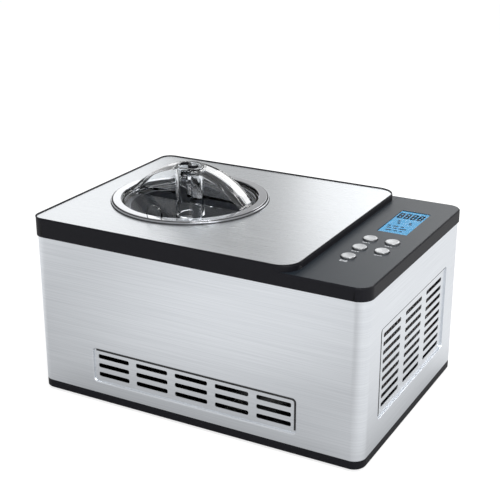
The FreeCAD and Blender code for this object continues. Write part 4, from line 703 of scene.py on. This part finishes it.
# %% Floor sheet
FLOOR_HALF = 9
SEEN_GREY, SEEN_GLOW, BOUNCE_GREY = 0.34, 0.76, 0.8
bm = bmesh.new()
bmesh.ops.create_grid(bm, x_segments=1, y_segments=1, size=FLOOR_HALF)
floor_mesh = bpy.data.meshes.new("floor")
bm.to_mesh(floor_mesh)
bm.free()
floor = bpy.data.objects.new("floor", floor_mesh)
scene.collection.objects.link(floor)
floor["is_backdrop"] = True
paper = bpy.data.materials.new("studio_paper")
paper.use_nodes = True
floor_mesh.materials.append(paper)
floor_tree = paper.node_tree
seen_paper = floor_tree.nodes["Principled BSDF"]
seen_paper.inputs["Base Color"].default_value = (SEEN_GREY, SEEN_GREY, SEEN_GREY, 1.0)
seen_paper.inputs["Roughness"].default_value = 0.9
seen_paper.inputs["Specular IOR Level"].default_value = 0.0
seen_paper.inputs["Emission Color"].default_value = (1.0, 1.0, 1.0, 1.0)
seen_paper.inputs["Emission Strength"].default_value = SEEN_GLOW
bounce_paper = floor_tree.nodes.new("ShaderNodeBsdfDiffuse")
bounce_paper.inputs["Color"].default_value = (BOUNCE_GREY, BOUNCE_GREY, BOUNCE_GREY, 1.0)
print("floor:", floor.dimensions.x, "m wide")

# %% [markdown]
# ## What the steel mirrors
# Steel takes its shading from what it mirrors, and an all-white room would leave it flat. So the floor and the sky
# have grey levels that only mirrors see. `ramped` makes a row of grey levels, and `by_ray` picks a shader by the
# kind of ray that asks.

# %% Helpers for the studio


def ramped(tree, values):
    """A colour ramp of grey levels, each a position and a level."""
    ramp = tree.nodes.new("ShaderNodeValToRGB")
    stops = ramp.color_ramp.elements
    while len(stops) < len(values):
        stops.new(0.5)
    for stop, (position, level) in zip(stops, values):
        stop.position = position
        stop.color = (level, level, level, 1.0)
    return ramp


def by_ray(tree, plain, mirrored, seen):
    """Mix three shaders: for bouncing light, for mirrors, and for the camera and clear plastic."""
    path = tree.nodes.new("ShaderNodeLightPath")
    direct = tree.nodes.new("ShaderNodeMath")
    direct.operation = "MAXIMUM"
    glossy = tree.nodes.new("ShaderNodeMixShader")
    result = tree.nodes.new("ShaderNodeMixShader")
    link = tree.links.new
    link(path.outputs["Is Camera Ray"], direct.inputs[0])
    link(path.outputs["Is Transmission Ray"], direct.inputs[1])
    link(path.outputs["Is Glossy Ray"], glossy.inputs["Fac"])
    link(plain, glossy.inputs[1])
    link(mirrored, glossy.inputs[2])
    link(direct.outputs["Value"], result.inputs["Fac"])
    link(glossy.outputs["Shader"], result.inputs[1])
    link(seen, result.inputs[2])
    return result.outputs["Shader"]


# %% [markdown]
# ## The mirrored floor
# In mirrors the floor has a bright pool in front of the object, as under a lamp, and a contact shadow along the
# object's foot. A round gradient gives the pool and ambient occlusion the contact shadow. Neither is brighter than
# white.

# %% Floor in mirrors
POOL_PLACE, POOL_SCALE, CONTACT_REACH = (0.125, 0.625, 0.0), (1.25, 1.25, 1.25), 80 * MM
link = floor_tree.links.new
place = floor_tree.nodes.new("ShaderNodeTexCoord")
spread = floor_tree.nodes.new("ShaderNodeMapping")
spread.inputs["Location"].default_value = POOL_PLACE
spread.inputs["Scale"].default_value = POOL_SCALE
near = floor_tree.nodes.new("ShaderNodeTexGradient")
near.gradient_type = "SPHERICAL"
shade = ramped(floor_tree, [(0.0, 0.96), (0.125, 0.90), (0.375, 0.83), (0.47, 0.72), (0.6, 0.55), (0.69, 0.69),
                            (0.84, 0.97), (1.0, 1.0)])
contact = floor_tree.nodes.new("ShaderNodeAmbientOcclusion")
contact.inputs["Distance"].default_value = CONTACT_REACH
mirrored = floor_tree.nodes.new("ShaderNodeEmission")
link(place.outputs["Object"], spread.inputs["Vector"])
link(spread.outputs["Vector"], near.inputs["Vector"])
link(near.outputs["Fac"], shade.inputs["Fac"])
link(shade.outputs["Color"], contact.inputs["Color"])
link(contact.outputs["Color"], mirrored.inputs["Color"])
mixed = by_ray(floor_tree, bounce_paper.outputs["BSDF"], mirrored.outputs["Emission"], seen_paper.outputs["BSDF"])
link(mixed, floor_tree.nodes["Material Output"].inputs["Surface"])
print("floor stops:", len(shade.color_ramp.elements))

# %% [markdown]
# ## World
# The room round the object is white for the camera and gives soft light from all sides. In mirrors its sky is bright
# near the horizon, dimmer above it and bright again overhead. A picture of a studio could serve too, but a ramp
# over the height of the ray needs no file.

# %% World
SOFT_COLOUR, SOFT_STRENGTH = (0.97, 0.985, 1.0, 1.0), 0.72
world = bpy.data.worlds.new("studio")
scene.world = world
world.use_nodes = True
sky_tree = world.node_tree
sky_tree.nodes.clear()
link = sky_tree.links.new
direction = sky_tree.nodes.new("ShaderNodeTexCoord")
split = sky_tree.nodes.new("ShaderNodeSeparateXYZ")
sky = ramped(sky_tree, [(0.0, 0.9), (0.27, 0.86), (0.34, 0.54), (0.42, 0.40), (0.65, 0.6), (1.0, 0.8)])
mirrored = sky_tree.nodes.new("ShaderNodeBackground")
soft = sky_tree.nodes.new("ShaderNodeBackground")
soft.inputs["Color"].default_value = SOFT_COLOUR
soft.inputs["Strength"].default_value = SOFT_STRENGTH
white = sky_tree.nodes.new("ShaderNodeBackground")
white.inputs["Color"].default_value = (1.0, 1.0, 1.0, 1.0)
link(direction.outputs["Generated"], split.inputs["Vector"])
link(split.outputs["Z"], sky.inputs["Fac"])
link(sky.outputs["Color"], mirrored.inputs["Color"])
mixed = by_ray(sky_tree, soft.outputs["Background"], mirrored.outputs["Background"], white.outputs["Background"])
output = sky_tree.nodes.new("ShaderNodeOutputWorld")
link(mixed, output.inputs["Surface"])
print("sky stops:", len(sky.color_ramp.elements))

# %% [markdown]
# ## Lights
# One large key light from the front right shapes the plastic and the shadow. Smaller softboxes stand where the ends
# of the top plate, the lid's ridge and the case's corner look. Point lamps would leave hard dots in the steel, so
# all of them are wide area lights.

# %% Lights


def softbox(name, place, target, width, height, power):
    """A rectangular area light that looks at a point and stays out of the picture."""
    light = bpy.data.lights.new(name, "AREA")
    light.shape = "RECTANGLE"
    light.size = width
    light.size_y = height
    light.energy = power
    lamp = bpy.data.objects.new(name, light)
    lamp.location = place
    lamp.rotation_euler = (Vector(target) - Vector(place)).to_track_quat("-Z", "Y").to_euler()
    lamp.visible_camera = False
    scene.collection.objects.link(lamp)
    print(name, width, "x", height, "m")


LAMP_TARGET = (0, 0, 0.2)
softbox("key_light", (1.3, -1.2, 2.0), LAMP_TARGET, 1.1, 1.1, 42)
softbox("back_light", (0.0, 1.5, 0.755), LAMP_TARGET, 1.33, 0.41, 2.0)
softbox("back_left_light", (-1.13, 1.13, 0.825), LAMP_TARGET, 0.53, 0.51, 0.9)
softbox("ridge_light", (0.13, 1.49, 1.16), LAMP_TARGET, 1.03, 0.33, 5.3)
softbox("corner_light", (1.9, -1.0, 0.5), LAMP_TARGET, 0.5, 1.2, 4.4)

# %% [markdown]
# ## Camera
# The photograph is taken from the front right and above, and its upright edges lean together only a little. That
# calls for a long lens from some way off: a short lens close by would fit the frame too, but bend the case.

# %% Camera
CAMERA_PLACE, CAMERA_TARGET = (0.5678, -1.0550, 0.6196), (-0.00168, 0.0, 0.1604)
LENS, SENSOR = 81.05, 36.0
camera_data = bpy.data.cameras.new("camera")
camera_data.lens = LENS
camera_data.sensor_width = SENSOR
camera = bpy.data.objects.new("camera", camera_data)
camera.location = CAMERA_PLACE
look = Vector(CAMERA_TARGET) - camera.location
camera.rotation_euler = look.to_track_quat("-Z", "Y").to_euler()
scene.collection.objects.link(camera)
scene.camera = camera
scene.view_settings.view_transform = "Standard"
print("camera:", round(look.length, 2), "m from its target")

# %% Size of the visual box
low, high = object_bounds()
print("visual box in mm:", [round(v / MM, 1) for v in (*low, *high)])
